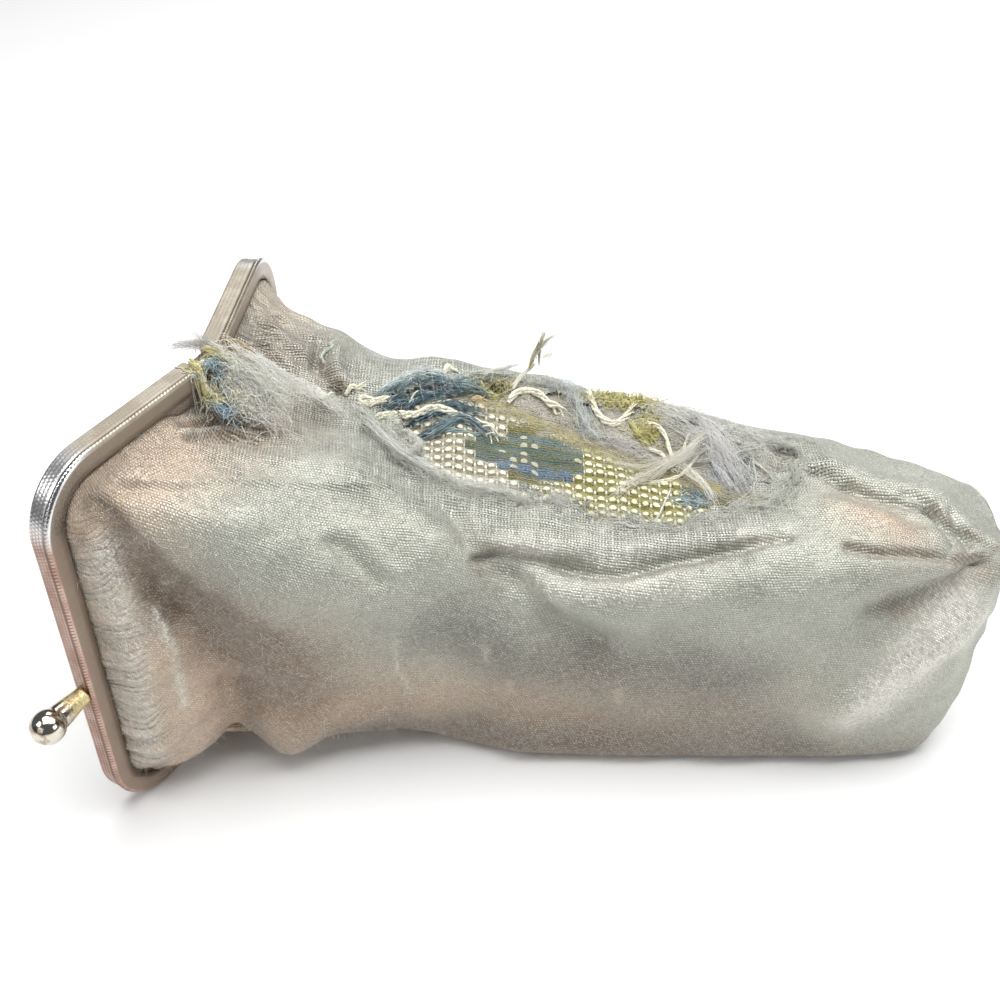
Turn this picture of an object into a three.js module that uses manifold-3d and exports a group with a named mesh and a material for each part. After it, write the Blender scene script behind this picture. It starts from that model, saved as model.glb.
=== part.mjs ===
// Kiss lock pouch: a long soft case hung on a hinged metal frame, lying on its side edge with its jaws open.
// Millimetres, +Z up. While it is built the hinge axis is the Z axis, x runs along the pouch away from the
// mouth and y runs from the front panel to the back one. At the end the whole moves onto the centre of
// its footprint.
import * as THREE from 'three';
import { mergeVertices } from 'three/addons/utils/BufferGeometryUtils.js';
import Module from 'manifold-3d';

const wasm = await Module();
wasm.setup();

// Frame: two channel-section jaws on two rivets
const frameWidth = 85; // outer face of the lower legs to outer face of the upper legs
const legLength = 45; // hinge axis to the outer face of a bar
const cornerRadius = 13; // outer radius of a jaw's corners
const channelWidth = 4.6; // across the jaw's plane
const channelDepth = 4; // outer face to the edge of the flanges
const channelWall = 0.7;
const legStart = 4; // hinge axis to the end of a leg's channel
const frontJawAngle = -120.4; // degrees about the hinge axis from +x
const backJawAngle = 85.5;

// Hinge: flat lugs in the mouth of each channel, one over the other on a flush rivet
const lugRadius = 2.3;
const lugReach = 9; // hinge axis to the lug's root between the flanges
const lugWall = 0.7;
const lugWidthInChannel = 4;
const frontLugDepth = 1.1; // outer face of the leg to the lug's outer face
const backLugDepth = 2.1;
const rivetShankRadius = 0.8;
const rivetHeadRadius = 1.7;
const rivetOuterHead = [0.1, 0.8]; // depths below the leg's outer face
const rivetInnerHead = [3.1, 3.8];
const rivetClearance = 0.3;

// Clasp: a stem that widens into a ball, staked through the bar's outer wall
const frontClaspHeight = 36;
const backClaspHeight = 43.5;
const ballRadius = 3.3;
const ballCentre = 9.2; // bar's outer face to the ball's centre
const tipFlatRadius = 1.3;
const stemFootRadius = 1.8;
const stemNeckRadius = 2.5;
const tenonRadius = 1;
const tenonHeadRadius = 1.45;
const claspGap = 0.3;
const tenonHeadWall = 0.6;
const collarWall = 0.6;
const stemNeckAt = 6.6; // where the stem ends, just before the ball

// Cloth: satin outside, brocade inside, both held in the channel's slot
const satinWall = 1;
const layerGap = 0.4;
const brocadeWall = 1;
const clothStart = 2.2; // edge of the cloth below the channel's outer face
const clothExit = 5.2; // where it has left the slot
const hingeDrop = 2.4; // how much lower the cloth's edge runs past the hinge
const hingeDropReach = [9, 16]; // distances from the hinge where that starts to end and has ended
const slotPull = 18; // how far the cloth keeps to the jaw's plane
const bodyPush = 48; // how far back from the first section it is straight
const frontBulge = 5; // how far the gathered panels puff out below the jaws
const backBulge = 8;
const swellLead = 0.7; // below 1 the puff lies nearer to the jaws
const footCut = 6; // rounding of the edges that lie on the ground
const mostCut = 0.48; // share of an edge that the rounding of one of its corners may take

// How finely round and soft forms are divided, and how near points are welded into one
const weldDistance = 1e-4;
const cornerSteps = 7;
const lugSteps = 6;
const drillSides = 12;
const rivetSides = 12;
const claspSides = 12;
const ballSteps = 6;
const pointsPerPanel = 21;
const shoulderRows = 10;

// Sections across the pouch: the front panel stands on the foot, turns over at the crease, climbs to the
// ridge and comes down as the back panel. The floor is the height of the underside, which lifts at the
// boxed end. The cuts are how far back from the crease and the ridge their rounding starts.
const sectionColumns = [
  'x', 'foot', 'creaseY', 'creaseZ', 'ridgeY', 'ridgeZ', 'backFoot', 'floor', 'creaseCut', 'ridgeCut',
];
const sections = [
  [45, -23, -27, 56, 30, 72, 31, 0, 11, 20],
  [62, -26, -27, 54, 27, 69, 28, 0, 9, 18],
  [84, -27, -27, 53, 23, 65, 26, 0, 8, 16],
  [105, -27, -27, 55, 20, 60, 24, 0, 8, 14],
  [123, -27, -26, 56, 17, 57, 22, 0, 8, 12],
  [138, -26, -24, 54, 13, 53, 19, 0, 7, 10],
  [144, -24, -22, 52, 11, 52, 16, 1.5, 7, 9],
  [148, -21, -20, 51, 9, 51, 13, 8, 7, 8],
  [151, -18, -18, 50, 8, 50, 10, 22, 7, 7],
  [153, -14, -15, 49, 5, 49, 6, 36, 7, 6],
].map((row) => Object.fromEntries(sectionColumns.map((column, i) => [column, row[i]])));
const bodyRows = [45, 53, 61, 69, 77, 85, 93, 102, 111, 120, 129, 137, 143, 147.5, 150.5, 153];

// Folds: each lies along the line from one point to another, raised where its height is positive
const folds = [
  { name: 'valley below the front bar', from: [-12, -32, 75], to: [2, -31, 38], width: 7, height: -4 },
  { name: 'notch beside the lower corner', from: [3, -30, 26], to: [-1, -27, 2], width: 8, height: -5 },
  { name: 'bulge after the notch', from: [10, -28, 16], to: [12, -26, 0], width: 5, height: 2 },
  { name: 'arch in the foot', from: [22, -26, 3], to: [33, -24, 3], width: 9, height: -4 },
  { name: 'ridge from the hinge to the crease', from: [16, -6, 68], to: [48, -24, 55], width: 6, height: 2 },
  { name: 'crease under the tear', from: [56, -24, 54], to: [98, -22, 55], width: 4, height: -1.6 },
  { name: 'slack across the front', from: [50, -25, 54], to: [70, -27, 36], width: 6, height: -2 },
  { name: 'seam towards the tip', from: [122, -6, 57], to: [143, -14, 53], width: 4, height: -1.8 },
  { name: 'valley below the tip', from: [144, -22, 46], to: [125, -27, 42], width: 5, height: -2.5 },
  { name: 'ridge below the tip', from: [144, -23, 40], to: [123, -28, 19], width: 8, height: 2 },
  { name: 'dip behind the shoulder', from: [20, 34, 70], to: [30, 31, 72], width: 8, height: -2.4 },
  { name: 'valley below the back bar', from: [9, 38, 72], to: [14, 38, 28], width: 7, height: -3 },
  { name: 'slack across the back', from: [44, 31, 58], to: [92, 26, 20], width: 9, height: -2 },
  { name: 'ridge across the back', from: [100, 24, 14], to: [138, 18, 42], width: 8, height: 1.6 },
];

// Tears in the satin, a long one in its upper side and a small one by the hinge, each as its two edges seen
// from above
const upperTear = [
  { x: 33, nearY: 6, farY: 12 },
  { x: 40, nearY: -6, farY: 15 },
  { x: 46, nearY: -10, farY: 14 },
  { x: 52, nearY: -9, farY: 17 },
  { x: 59, nearY: -12, farY: 15 },
  { x: 66, nearY: -10, farY: 16 },
  { x: 73, nearY: -14, farY: 14 },
  { x: 80, nearY: -13, farY: 15 },
  { x: 87, nearY: -15, farY: 12 },
  { x: 94, nearY: -11, farY: 12 },
  { x: 101, nearY: -9, farY: 9 },
  { x: 108, nearY: -1, farY: 8 },
  { x: 113, nearY: 3, farY: 6 },
];
const hingeTear = [
  { x: 2, nearY: -1, farY: 2 },
  { x: 4, nearY: -2, farY: 5 },
  { x: 7, nearY: -1, farY: 5 },
  { x: 10, nearY: 2, farY: 4 },
];
const tearBottom = 45; // lower than the satin's upper side, higher than anything else it could meet

// Directions of a jaw: along its legs, across its plane to the outside of the pouch, and the whole placing
function jawFrame(angleDegrees, outwardTurn) {
  const angle = THREE.MathUtils.degToRad(angleDegrees);
  const along = new THREE.Vector3(Math.cos(angle), Math.sin(angle), 0);
  const outward = new THREE.Vector3(-Math.sin(angle), Math.cos(angle), 0).multiplyScalar(outwardTurn);
  const place = (reach, across, height) => new THREE.Vector3(0, 0, height)
    .addScaledVector(along, reach)
    .addScaledVector(outward, across);
  return { along, outward, place };
}

const frontJaw = jawFrame(frontJawAngle, 1);
const backJaw = jawFrame(backJawAngle, -1);

// Meshes and solids
function closedGeometry(points, triangles) {
  const geometry = new THREE.BufferGeometry();
  geometry.setAttribute('position', new THREE.Float32BufferAttribute(points.flatMap((p) => p.toArray()), 3));
  let volume = 0;
  for (const [a, b, c] of triangles) {
    volume += points[a].dot(new THREE.Vector3().crossVectors(points[b], points[c]));
  }
  geometry.setIndex(triangles.flatMap(([a, b, c]) => (volume < 0 ? [a, c, b] : [a, b, c])));
  return geometry;
}

function solidOf(geometry) {
  const bare = geometry.clone();
  bare.deleteAttribute('normal');
  bare.deleteAttribute('uv');
  const merged = mergeVertices(bare, weldDistance);
  return new wasm.Manifold(new wasm.Mesh({
    numProp: 3,
    vertProperties: new Float32Array(merged.attributes.position.array),
    triVerts: new Uint32Array(merged.index.array),
  }));
}

function geometryOf(solid) {
  const mesh = solid.getMesh();
  const geometry = new THREE.BufferGeometry();
  geometry.setAttribute('position', new THREE.BufferAttribute(mesh.vertProperties, 3));
  geometry.setIndex(new THREE.BufferAttribute(mesh.triVerts, 1));
  return geometry;
}

// A profile carried through a row of rings, closed by the profile itself at both ends
function sweptGeometry(rings, profile) {
  const count = profile.length;
  const triangles = [];
  for (let i = 0; i + 1 < rings.length; i += 1) {
    for (let k = 0; k < count; k += 1) {
      const next = (k + 1) % count;
      const [a, b] = [i * count + k, (i + 1) * count + k];
      const [c, d] = [(i + 1) * count + next, i * count + next];
      triangles.push([a, b, c], [a, c, d]);
    }
  }
  const last = (rings.length - 1) * count;
  const turn = Math.sign(THREE.ShapeUtils.area(profile));
  for (const face of THREE.ShapeUtils.triangulateShape(profile, [])) {
    const faceTurn = Math.sign(THREE.ShapeUtils.area(face.map((corner) => profile[corner])));
    const [a, b, c] = faceTurn === turn ? face : [face[0], face[2], face[1]];
    triangles.push([a, b, c], [last + a, last + c, last + b]);
  }
  return closedGeometry(rings.flat(), triangles);
}

// A turned piece whose profile of [radius, distance] pairs runs along a direction from an origin
function turnedGeometry(profile, sides, origin, direction) {
  const outline = profile.map(([radius, along]) => new THREE.Vector2(radius, along));
  const geometry = new THREE.LatheGeometry(outline, sides);
  geometry.applyQuaternion(new THREE.Quaternion().setFromUnitVectors(new THREE.Vector3(0, 1, 0), direction));
  geometry.translate(origin.x, origin.y, origin.z);
  return geometry;
}

// Jaws
function jawStations() {
  const centre = legLength - cornerRadius;
  const stations = [{ reach: legStart, height: 0, inReach: 0, inHeight: 1 }];
  for (const [height, first] of [[cornerRadius, -90], [frameWidth - cornerRadius, 0]]) {
    for (let step = 0; step <= cornerSteps; step += 1) {
      const angle = THREE.MathUtils.degToRad(first + (90 * step) / cornerSteps);
      stations.push({
        reach: centre + cornerRadius * Math.cos(angle),
        height: height + cornerRadius * Math.sin(angle),
        inReach: -Math.cos(angle),
        inHeight: -Math.sin(angle),
      });
    }
  }
  stations.push({ reach: legStart, height: frameWidth, inReach: 0, inHeight: -1 });
  return stations;
}

// One lug: a tongue with a round end and the rivet's hole, lying flat at a depth inside the leg
function lugSolid(jaw, lugDepth, upper) {
  const half = lugWidthInChannel / 2;
  const outline = new THREE.Shape();
  outline.moveTo(lugReach, -half);
  outline.lineTo(lugReach, half);
  outline.lineTo(legStart, half);
  outline.lineTo(0, lugRadius);
  outline.absarc(0, 0, lugRadius, Math.PI / 2, (3 * Math.PI) / 2, false);
  outline.lineTo(legStart, -half);
  outline.closePath();
  const hole = new THREE.Path();
  hole.absarc(0, 0, rivetShankRadius + rivetClearance, 0, 2 * Math.PI, true);
  outline.holes.push(hole);
  const geometry = new THREE.ExtrudeGeometry(outline, {
    depth: lugWall,
    bevelEnabled: false,
    curveSegments: lugSteps,
  });
  const foot = upper ? frameWidth - lugDepth - lugWall : lugDepth;
  const side = new THREE.Vector3().crossVectors(new THREE.Vector3(0, 0, 1), jaw.along);
  geometry.applyMatrix4(new THREE.Matrix4().makeBasis(jaw.along, side, new THREE.Vector3(0, 0, 1)));
  geometry.translate(0, 0, foot);
  return solidOf(geometry);
}

function jawGeometry(jaw, lugDepth, claspHeight) {
  const [half, wall] = [channelWidth / 2, channelWall];
  const profile = [
    [0, -half], [0, half], [channelDepth, half], [channelDepth, half - wall],
    [wall, half - wall], [wall, wall - half], [channelDepth, wall - half], [channelDepth, -half],
  ].map(([depth, across]) => new THREE.Vector2(depth, across));
  const rings = jawStations().map((station) => profile.map(({ x: depth, y: across }) => jaw.place(
    station.reach + station.inReach * depth,
    across,
    station.height + station.inHeight * depth,
  )));
  const [holeRadius, reach] = [tenonRadius + claspGap, 2 * channelWall];
  const drill = turnedGeometry(
    [[0, -reach], [holeRadius, -reach], [holeRadius, reach], [0, reach]],
    drillSides,
    jaw.place(legLength, 0, claspHeight),
    jaw.along,
  );
  return geometryOf(solidOf(sweptGeometry(rings, profile))
    .add(lugSolid(jaw, lugDepth, false))
    .add(lugSolid(jaw, lugDepth, true))
    .subtract(solidOf(drill)));
}

// Clasp lobe: tenon head inside the channel, tenon, collar, widening stem, ball with a small flat at its tip
function claspGeometry(jaw, height) {
  const inside = -channelWall - claspGap;
  const profile = [
    [0, inside - tenonHeadWall], [tenonHeadRadius, inside - tenonHeadWall], [tenonHeadRadius, inside],
    [tenonRadius, inside], [tenonRadius, claspGap], [stemFootRadius, claspGap],
    [stemFootRadius, claspGap + collarWall], [stemNeckRadius, stemNeckAt],
  ];
  const first = Math.asin(stemNeckRadius / ballRadius);
  const last = Math.PI - Math.asin(tipFlatRadius / ballRadius);
  for (let step = 0; step <= ballSteps; step += 1) {
    const angle = first + ((last - first) * step) / ballSteps;
    profile.push([ballRadius * Math.sin(angle), ballCentre - ballRadius * Math.cos(angle)]);
  }
  profile.push([0, ballCentre + ballRadius * Math.cos(Math.PI - last)]);
  return turnedGeometry(profile, claspSides, jaw.place(legLength, 0, height), jaw.along);
}

// Rivet: two flush heads on a shank, measured inwards from the outer face of the legs
function rivetGeometry(upper) {
  const inward = new THREE.Vector3(0, 0, upper ? -1 : 1);
  const profile = [
    [0, rivetOuterHead[0]], [rivetHeadRadius, rivetOuterHead[0]], [rivetHeadRadius, rivetOuterHead[1]],
    [rivetShankRadius, rivetOuterHead[1]], [rivetShankRadius, rivetInnerHead[0]],
    [rivetHeadRadius, rivetInnerHead[0]], [rivetHeadRadius, rivetInnerHead[1]], [0, rivetInnerHead[1]],
  ];
  return turnedGeometry(profile, rivetSides, new THREE.Vector3(0, 0, upper ? frameWidth : 0), inward);
}

// Cloth: a run of points through some corners, each corner cut back and rounded
function roundedPath(corners, cuts) {
  const path = new THREE.Path();
  path.moveTo(corners[0].x, corners[0].y);
  for (let i = 1; i + 1 < corners.length; i += 1) {
    const corner = corners[i];
    const [before, after] = [corners[i - 1], corners[i + 1]].map((neighbour) => {
      const edge = neighbour.clone().sub(corner);
      return corner.clone().add(edge.setLength(Math.min(cuts[i - 1], edge.length() * mostCut)));
    });
    path.lineTo(before.x, before.y);
    path.quadraticCurveTo(corner.x, corner.y, after.x, after.y);
  }
  path.lineTo(corners.at(-1).x, corners.at(-1).y);
  return path;
}

// The table's columns at any x, by a cubic through its rows
function sectionAt(x) {
  const found = sections.findIndex((row) => row.x > x);
  const i = (found < 0 ? sections.length - 1 : Math.max(found, 1)) - 1;
  const [low, high] = [sections[i], sections[i + 1]];
  const [before, after] = [sections[Math.max(i - 1, 0)], sections[Math.min(i + 2, sections.length - 1)]];
  const span = high.x - low.x;
  const t = (x - low.x) / span;
  const row = {};
  for (const column of Object.keys(low)) {
    const slopeLow = ((high[column] - before[column]) / (high.x - before.x)) * span;
    const slopeHigh = ((after[column] - low[column]) / (after.x - low.x)) * span;
    row[column] = hermite(t, low[column], slopeLow, high[column], slopeHigh);
  }
  return row;
}

function hermite(t, start, startSlope, end, endSlope) {
  const [t2, t3] = [t * t, t * t * t];
  return (2 * t3 - 3 * t2 + 1) * start + (t3 - 2 * t2 + t) * startSlope
    + (3 * t2 - 2 * t3) * end + (t3 - t2) * endSlope;
}

// One ring across the pouch, from the lower seam up the front panel and down the back one
function sectionRing(x) {
  const row = sectionAt(x);
  const low = new THREE.Vector2((row.foot + row.backFoot) / 2, row.floor);
  const high = new THREE.Vector2((row.creaseY + row.ridgeY) / 2, (row.creaseZ + row.ridgeZ) / 2);
  const foot = new THREE.Vector2(row.foot, row.floor);
  const crease = new THREE.Vector2(row.creaseY, row.creaseZ);
  const ridge = new THREE.Vector2(row.ridgeY, row.ridgeZ);
  const backFoot = new THREE.Vector2(row.backFoot, row.floor);
  const halves = [
    roundedPath([low, foot, crease, high], [footCut, row.creaseCut]),
    roundedPath([high, ridge, backFoot, low], [row.ridgeCut, footCut]),
  ];
  return halves.flatMap((half) => half.getSpacedPoints(pointsPerPanel).slice(0, -1))
    .map((p) => new THREE.Vector3(x, p.x, p.y));
}

// One ring along both jaws at a depth below their outer faces, with the direction into the jaw at each point
function jawRing(depth) {
  const far = legLength - cornerRadius;
  const radius = cornerRadius - depth;
  const path = new THREE.Path();
  path.moveTo(0, depth);
  path.lineTo(far, depth);
  path.absarc(far, cornerRadius, radius, -Math.PI / 2, 0, false);
  path.lineTo(legLength - depth, frameWidth - cornerRadius);
  path.absarc(far, frameWidth - cornerRadius, radius, 0, Math.PI / 2, false);
  path.lineTo(0, frameWidth - depth);
  const ring = [];
  for (const [jaw, runsDown] of [[frontJaw, false], [backJaw, true]]) {
    for (let k = 0; k < pointsPerPanel; k += 1) {
      const u = runsDown ? 1 - k / pointsPerPanel : k / pointsPerPanel;
      const p = path.getPoint(u);
      const tangent = path.getTangent(u);
      const drop = hingeDrop * (1 - THREE.MathUtils.smoothstep(p.x, ...hingeDropReach));
      const [inReach, inHeight] = [-tangent.y, tangent.x];
      ring.push({
        point: jaw.place(p.x + inReach * drop, 0, p.y + inHeight * drop),
        inward: jaw.along.clone().multiplyScalar(inReach).setZ(inHeight),
      });
    }
  }
  return ring;
}

function gridNormals(rows) {
  const count = rows[0].length;
  return rows.map((row, i) => row.map((point, k) => {
    const along = rows[Math.min(i + 1, rows.length - 1)][k].clone().sub(rows[Math.max(i - 1, 0)][k]);
    const around = row[(k + 1) % count].clone().sub(row[(k + count - 1) % count]);
    return along.cross(around).normalize();
  }));
}

function foldHeight(point) {
  let height = 0;
  for (const fold of folds) {
    const line = new THREE.Line3(new THREE.Vector3(...fold.from), new THREE.Vector3(...fold.to));
    const distance = line.closestPointToPoint(point, true, new THREE.Vector3()).distanceTo(point);
    height += fold.height * Math.exp(-((distance / fold.width) ** 2));
  }
  return height;
}

// The pouch's outer form: both slot rows, the shoulder that leaves the jaws, the body to its boxed end, and
// the folds in all of it
function pouchRows() {
  const slot = jawRing(clothStart).map(({ point }) => point);
  const exit = jawRing(clothExit);
  const first = sectionRing(sections[0].x);
  const rows = [slot, exit.map(({ point }) => point)];
  for (let step = 1; step < shoulderRows; step += 1) {
    const t = step / shoulderRows;
    rows.push(exit.map(({ point, inward }, k) => {
      const [jaw, bulge] = k < pointsPerPanel ? [frontJaw, frontBulge] : [backJaw, backBulge];
      const acrossPanel = Math.sqrt(Math.abs(Math.sin((Math.PI * k) / pointsPerPanel)));
      const downPanel = Math.sin(Math.PI * t ** swellLead);
      const place = (axis, push) => hermite(t, point[axis], slotPull * inward[axis], first[k][axis], push);
      return new THREE.Vector3(place('x', bodyPush), place('y', 0), place('z', 0))
        .addScaledVector(jaw.outward, bulge * acrossPanel * downPanel);
    }));
  }
  for (const x of bodyRows) {
    rows.push(sectionRing(x));
  }
  const normals = gridNormals(rows);
  return rows.map((row, i) => (i < 2 ? row : row.map((point, k) => {
    const moved = point.clone().addScaledVector(normals[i][k], foldHeight(point));
    return moved.setZ(Math.max(moved.z, 0));
  })));
}

// A surface of the cloth below the outer form: centred in the slot, then inset from the form by its depth
function layerRows(rows, inset) {
  const stack = satinWall + layerGap + brocadeWall;
  const normals = gridNormals(rows);
  const end = new THREE.Vector3(1, 0, 0);
  return rows.map((row, i) => row.map((point, k) => {
    const outOfSlot = THREE.MathUtils.smoothstep(i, 1, 1 + shoulderRows);
    const normal = normals[i][k];
    if (i === rows.length - 1) {
      normal.add(end).divideScalar(normal.dot(end));
    }
    const moved = point.clone().addScaledVector(normal, (stack / 2) * (1 - outOfSlot) - inset);
    return moved.setZ(Math.max(moved.z, inset));
  }));
}

// A wall between two surfaces of the cloth, open at the mouth and closed at the boxed end
function wallGeometry(outer, inner) {
  const count = outer[0].length;
  const last = outer.length - 1;
  const points = [...outer.flat(), ...inner.flat()];
  const innerStart = outer.length * count;
  const triangles = [];
  const addQuad = (a, b, c, d) => triangles.push([a, b, c], [a, c, d]);
  for (let k = 0; k < count; k += 1) {
    const next = (k + 1) % count;
    for (let i = 0; i < last; i += 1) {
      const [a, b, c, d] = [i * count + k, (i + 1) * count + k, (i + 1) * count + next, i * count + next];
      addQuad(a, b, c, d);
      addQuad(innerStart + a, innerStart + d, innerStart + c, innerStart + b);
    }
    addQuad(k, next, innerStart + next, innerStart + k);
  }
  for (const [rows, start] of [[outer, 0], [inner, innerStart]]) {
    const centre = rows[last].reduce((sum, p) => sum.add(p), new THREE.Vector3()).divideScalar(count);
    const hub = points.push(centre) - 1;
    for (let k = 0; k < count; k += 1) {
      const [a, b] = [start + last * count + k, start + last * count + ((k + 1) % count)];
      triangles.push(start === 0 ? [hub, b, a] : [hub, a, b]);
    }
  }
  return closedGeometry(points, triangles);
}

function tearSolid(edges) {
  const outline = new THREE.Shape([
    ...edges.map(({ x, nearY }) => new THREE.Vector2(x, nearY)),
    ...edges.toReversed().map(({ x, farY }) => new THREE.Vector2(x, farY)),
  ]);
  const depth = frameWidth - tearBottom;
  const geometry = new THREE.ExtrudeGeometry(outline, { depth, bevelEnabled: false });
  geometry.translate(0, 0, tearBottom);
  return solidOf(geometry);
}

// Assembly
function piece(name, geometry, color, roughness, metalness) {
  const mesh = new THREE.Mesh(geometry, new THREE.MeshStandardMaterial({ color, roughness, metalness }));
  mesh.name = name;
  return mesh;
}

const outerForm = pouchRows();
const satinDepths = [0, satinWall];
const brocadeDepths = [satinWall + layerGap, satinWall + layerGap + brocadeWall];
const [satinWallGeometry, brocadeWallGeometry] = [satinDepths, brocadeDepths].map(
  ([outside, inside]) => wallGeometry(layerRows(outerForm, outside), layerRows(outerForm, inside)),
);

const tornSatin = solidOf(satinWallGeometry)
  .subtract(tearSolid(upperTear))
  .subtract(tearSolid(hingeTear));

const pouch = new THREE.Group();
pouch.add(
  piece('frame_front', jawGeometry(frontJaw, frontLugDepth, frontClaspHeight), 0xb8aca2, 0.28, 1),
  piece('frame_back', jawGeometry(backJaw, backLugDepth, backClaspHeight), 0xb8aca2, 0.28, 1),
  piece('hinge_rivet_upper', rivetGeometry(true), 0xa89c90, 0.3, 1),
  piece('hinge_rivet_lower', rivetGeometry(false), 0xa89c90, 0.3, 1),
  piece('clasp_front', claspGeometry(frontJaw, frontClaspHeight), 0xc9bfae, 0.2, 1),
  piece('clasp_back', claspGeometry(backJaw, backClaspHeight), 0xc9bfae, 0.2, 1),
  piece('pouch_satin', geometryOf(tornSatin), 0xa9a699, 0.45, 0),
  piece('pouch_brocade', brocadeWallGeometry, 0xc4bd8f, 0.8, 0),
);
const footprint = new THREE.Box3().setFromObject(pouch, true);
const centre = footprint.getCenter(new THREE.Vector3());
pouch.position.set(-centre.x, -centre.y, -footprint.min.z);

export default pouch;
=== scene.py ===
import math

import bpy
import numpy as np
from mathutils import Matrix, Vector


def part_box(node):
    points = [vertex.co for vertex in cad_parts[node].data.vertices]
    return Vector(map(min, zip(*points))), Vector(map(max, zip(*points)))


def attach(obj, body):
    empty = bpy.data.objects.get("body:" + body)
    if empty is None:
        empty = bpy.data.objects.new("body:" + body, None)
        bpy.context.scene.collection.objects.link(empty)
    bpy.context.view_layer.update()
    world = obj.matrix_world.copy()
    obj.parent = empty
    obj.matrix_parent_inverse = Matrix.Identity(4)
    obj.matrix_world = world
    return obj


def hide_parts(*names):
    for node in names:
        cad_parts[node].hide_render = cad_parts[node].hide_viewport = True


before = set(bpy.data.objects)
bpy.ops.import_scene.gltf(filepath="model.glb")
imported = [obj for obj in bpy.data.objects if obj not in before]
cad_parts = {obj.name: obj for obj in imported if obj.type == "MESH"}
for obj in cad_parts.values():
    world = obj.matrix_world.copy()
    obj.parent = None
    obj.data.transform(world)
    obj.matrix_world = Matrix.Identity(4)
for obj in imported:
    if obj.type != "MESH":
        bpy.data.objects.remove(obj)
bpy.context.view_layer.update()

# Brocade layer
# The pouch's inner cloth, a figured silk of cream, olive and blue. It has the satin's form, is crimped
# with it into the frame's slot, and shows where the satin over it has torn.
millimetre = 0.001
rivet_low, rivet_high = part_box("hinge_rivet_upper")
jaw_low, jaw_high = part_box("frame_front")
hinge = np.array([(rivet_low.x + rivet_high.x) / 2, (rivet_low.y + rivet_high.y) / 2, 0.0])
frame_width = (jaw_high.z - jaw_low.z) / millimetre
leg_length = 45.0
corner_radius = 13.0
cloth_start = 2.2
cloth_exit = 5.2
hinge_drop = 2.4
hinge_drop_reach = (9.0, 16.0)
slot_pull = 18.0
body_push = 48.0
front_bulge = 5.0
back_bulge = 8.0
swell_lead = 0.7
foot_cut = 6.0
most_cut = 0.48
cloth_stack = 2.4
brocade_inset = 1.9
far_inset = 0.7
hidden_inset = 4.6
low_inset = 2.6

# Sections across the pouch, in millimetres about the hinge
section_columns = (
    "x", "foot", "crease_y", "crease_z", "ridge_y", "ridge_z",
    "back_foot", "floor", "crease_cut", "ridge_cut",
)
sections = np.array([
    (45, -23, -27, 56, 30, 72, 31, 0, 11, 20),
    (62, -26, -27, 54, 27, 69, 28, 0, 9, 18),
    (84, -27, -27, 53, 23, 65, 26, 0, 8, 16),
    (105, -27, -27, 55, 20, 60, 24, 0, 8, 14),
    (123, -27, -26, 56, 17, 57, 22, 0, 8, 12),
    (138, -26, -24, 54, 13, 53, 19, 0, 7, 10),
    (144, -24, -22, 52, 11, 52, 16, 1.5, 7, 9),
    (148, -21, -20, 51, 9, 51, 13, 8, 7, 8),
    (151, -18, -18, 50, 8, 50, 10, 22, 7, 7),
    (153, -14, -15, 49, 5, 49, 6, 36, 7, 6),
], float)

# Tears of the satin in plan, the long one and the one by the hinge
tears = [
    [(33, 6), (40, -6), (46, -10), (52, -9), (59, -12), (66, -10), (73, -14), (80, -13), (87, -15),
     (94, -11), (101, -9), (108, -1), (113, 3), (113, 6), (108, 8), (101, 9), (94, 12), (87, 12),
     (80, 15), (73, 14), (66, 16), (59, 15), (52, 17), (46, 14), (40, 15), (33, 12)],
    [(2, -1), (4, -2), (7, -1), (10, 2), (10, 4), (7, 5), (4, 5), (2, 2)],
]
tear_bottom = 45.0

# Folds of both layers: from one point to another, how wide, how high
main_folds = [
    ((-12, -32, 75), (2, -31, 38), 7, -4),
    ((3, -30, 26), (-1, -27, 2), 8, -5),
    ((10, -28, 16), (12, -26, 0), 5, 2),
    ((22, -26, 3), (33, -24, 3), 9, -4),
    ((16, -6, 68), (48, -24, 55), 6, 2),
    ((56, -24, 54), (98, -22, 55), 4, -1.6),
    ((50, -25, 54), (70, -27, 36), 6, -2),
    ((122, -6, 57), (143, -14, 53), 4, -1.8),
    ((144, -22, 46), (125, -27, 42), 5, -2.5),
    ((144, -23, 40), (123, -28, 19), 8, 2),
    ((20, 34, 70), (30, 31, 72), 8, -2.4),
    ((9, 38, 72), (14, 38, 28), 7, -3),
    ((44, 31, 58), (92, 26, 20), 9, -2),
    ((100, 24, 14), (138, 18, 42), 8, 1.6),
]


def smoothstep(value, low, high):
    share = np.clip((value - low) / (high - low), 0, 1)
    return share * share * (3 - 2 * share)


def hermite(t, start, start_slope, end, end_slope):
    return ((2 * t**3 - 3 * t**2 + 1) * start + (t**3 - 2 * t**2 + t) * start_slope
            + (3 * t**2 - 2 * t**3) * end + (t**3 - t**2) * end_slope)


def travel(points, shares):
    """Rows at shares of the length of a run of points, whose first two columns are places."""
    steps = np.linalg.norm(np.diff(points[:, :2], axis=0), axis=1)
    run = np.append(0, np.cumsum(steps)) / steps.sum()
    return np.column_stack([np.interp(shares, run, column) for column in points.T])


def jaw_axes(degrees, turn):
    angle = math.radians(degrees)
    along = np.array([math.cos(angle), math.sin(angle), 0.0])
    outward = turn * np.array([-math.sin(angle), math.cos(angle), 0.0])
    return along, outward


front_jaw = jaw_axes(-120.4, 1)
back_jaw = jaw_axes(85.5, -1)


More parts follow.
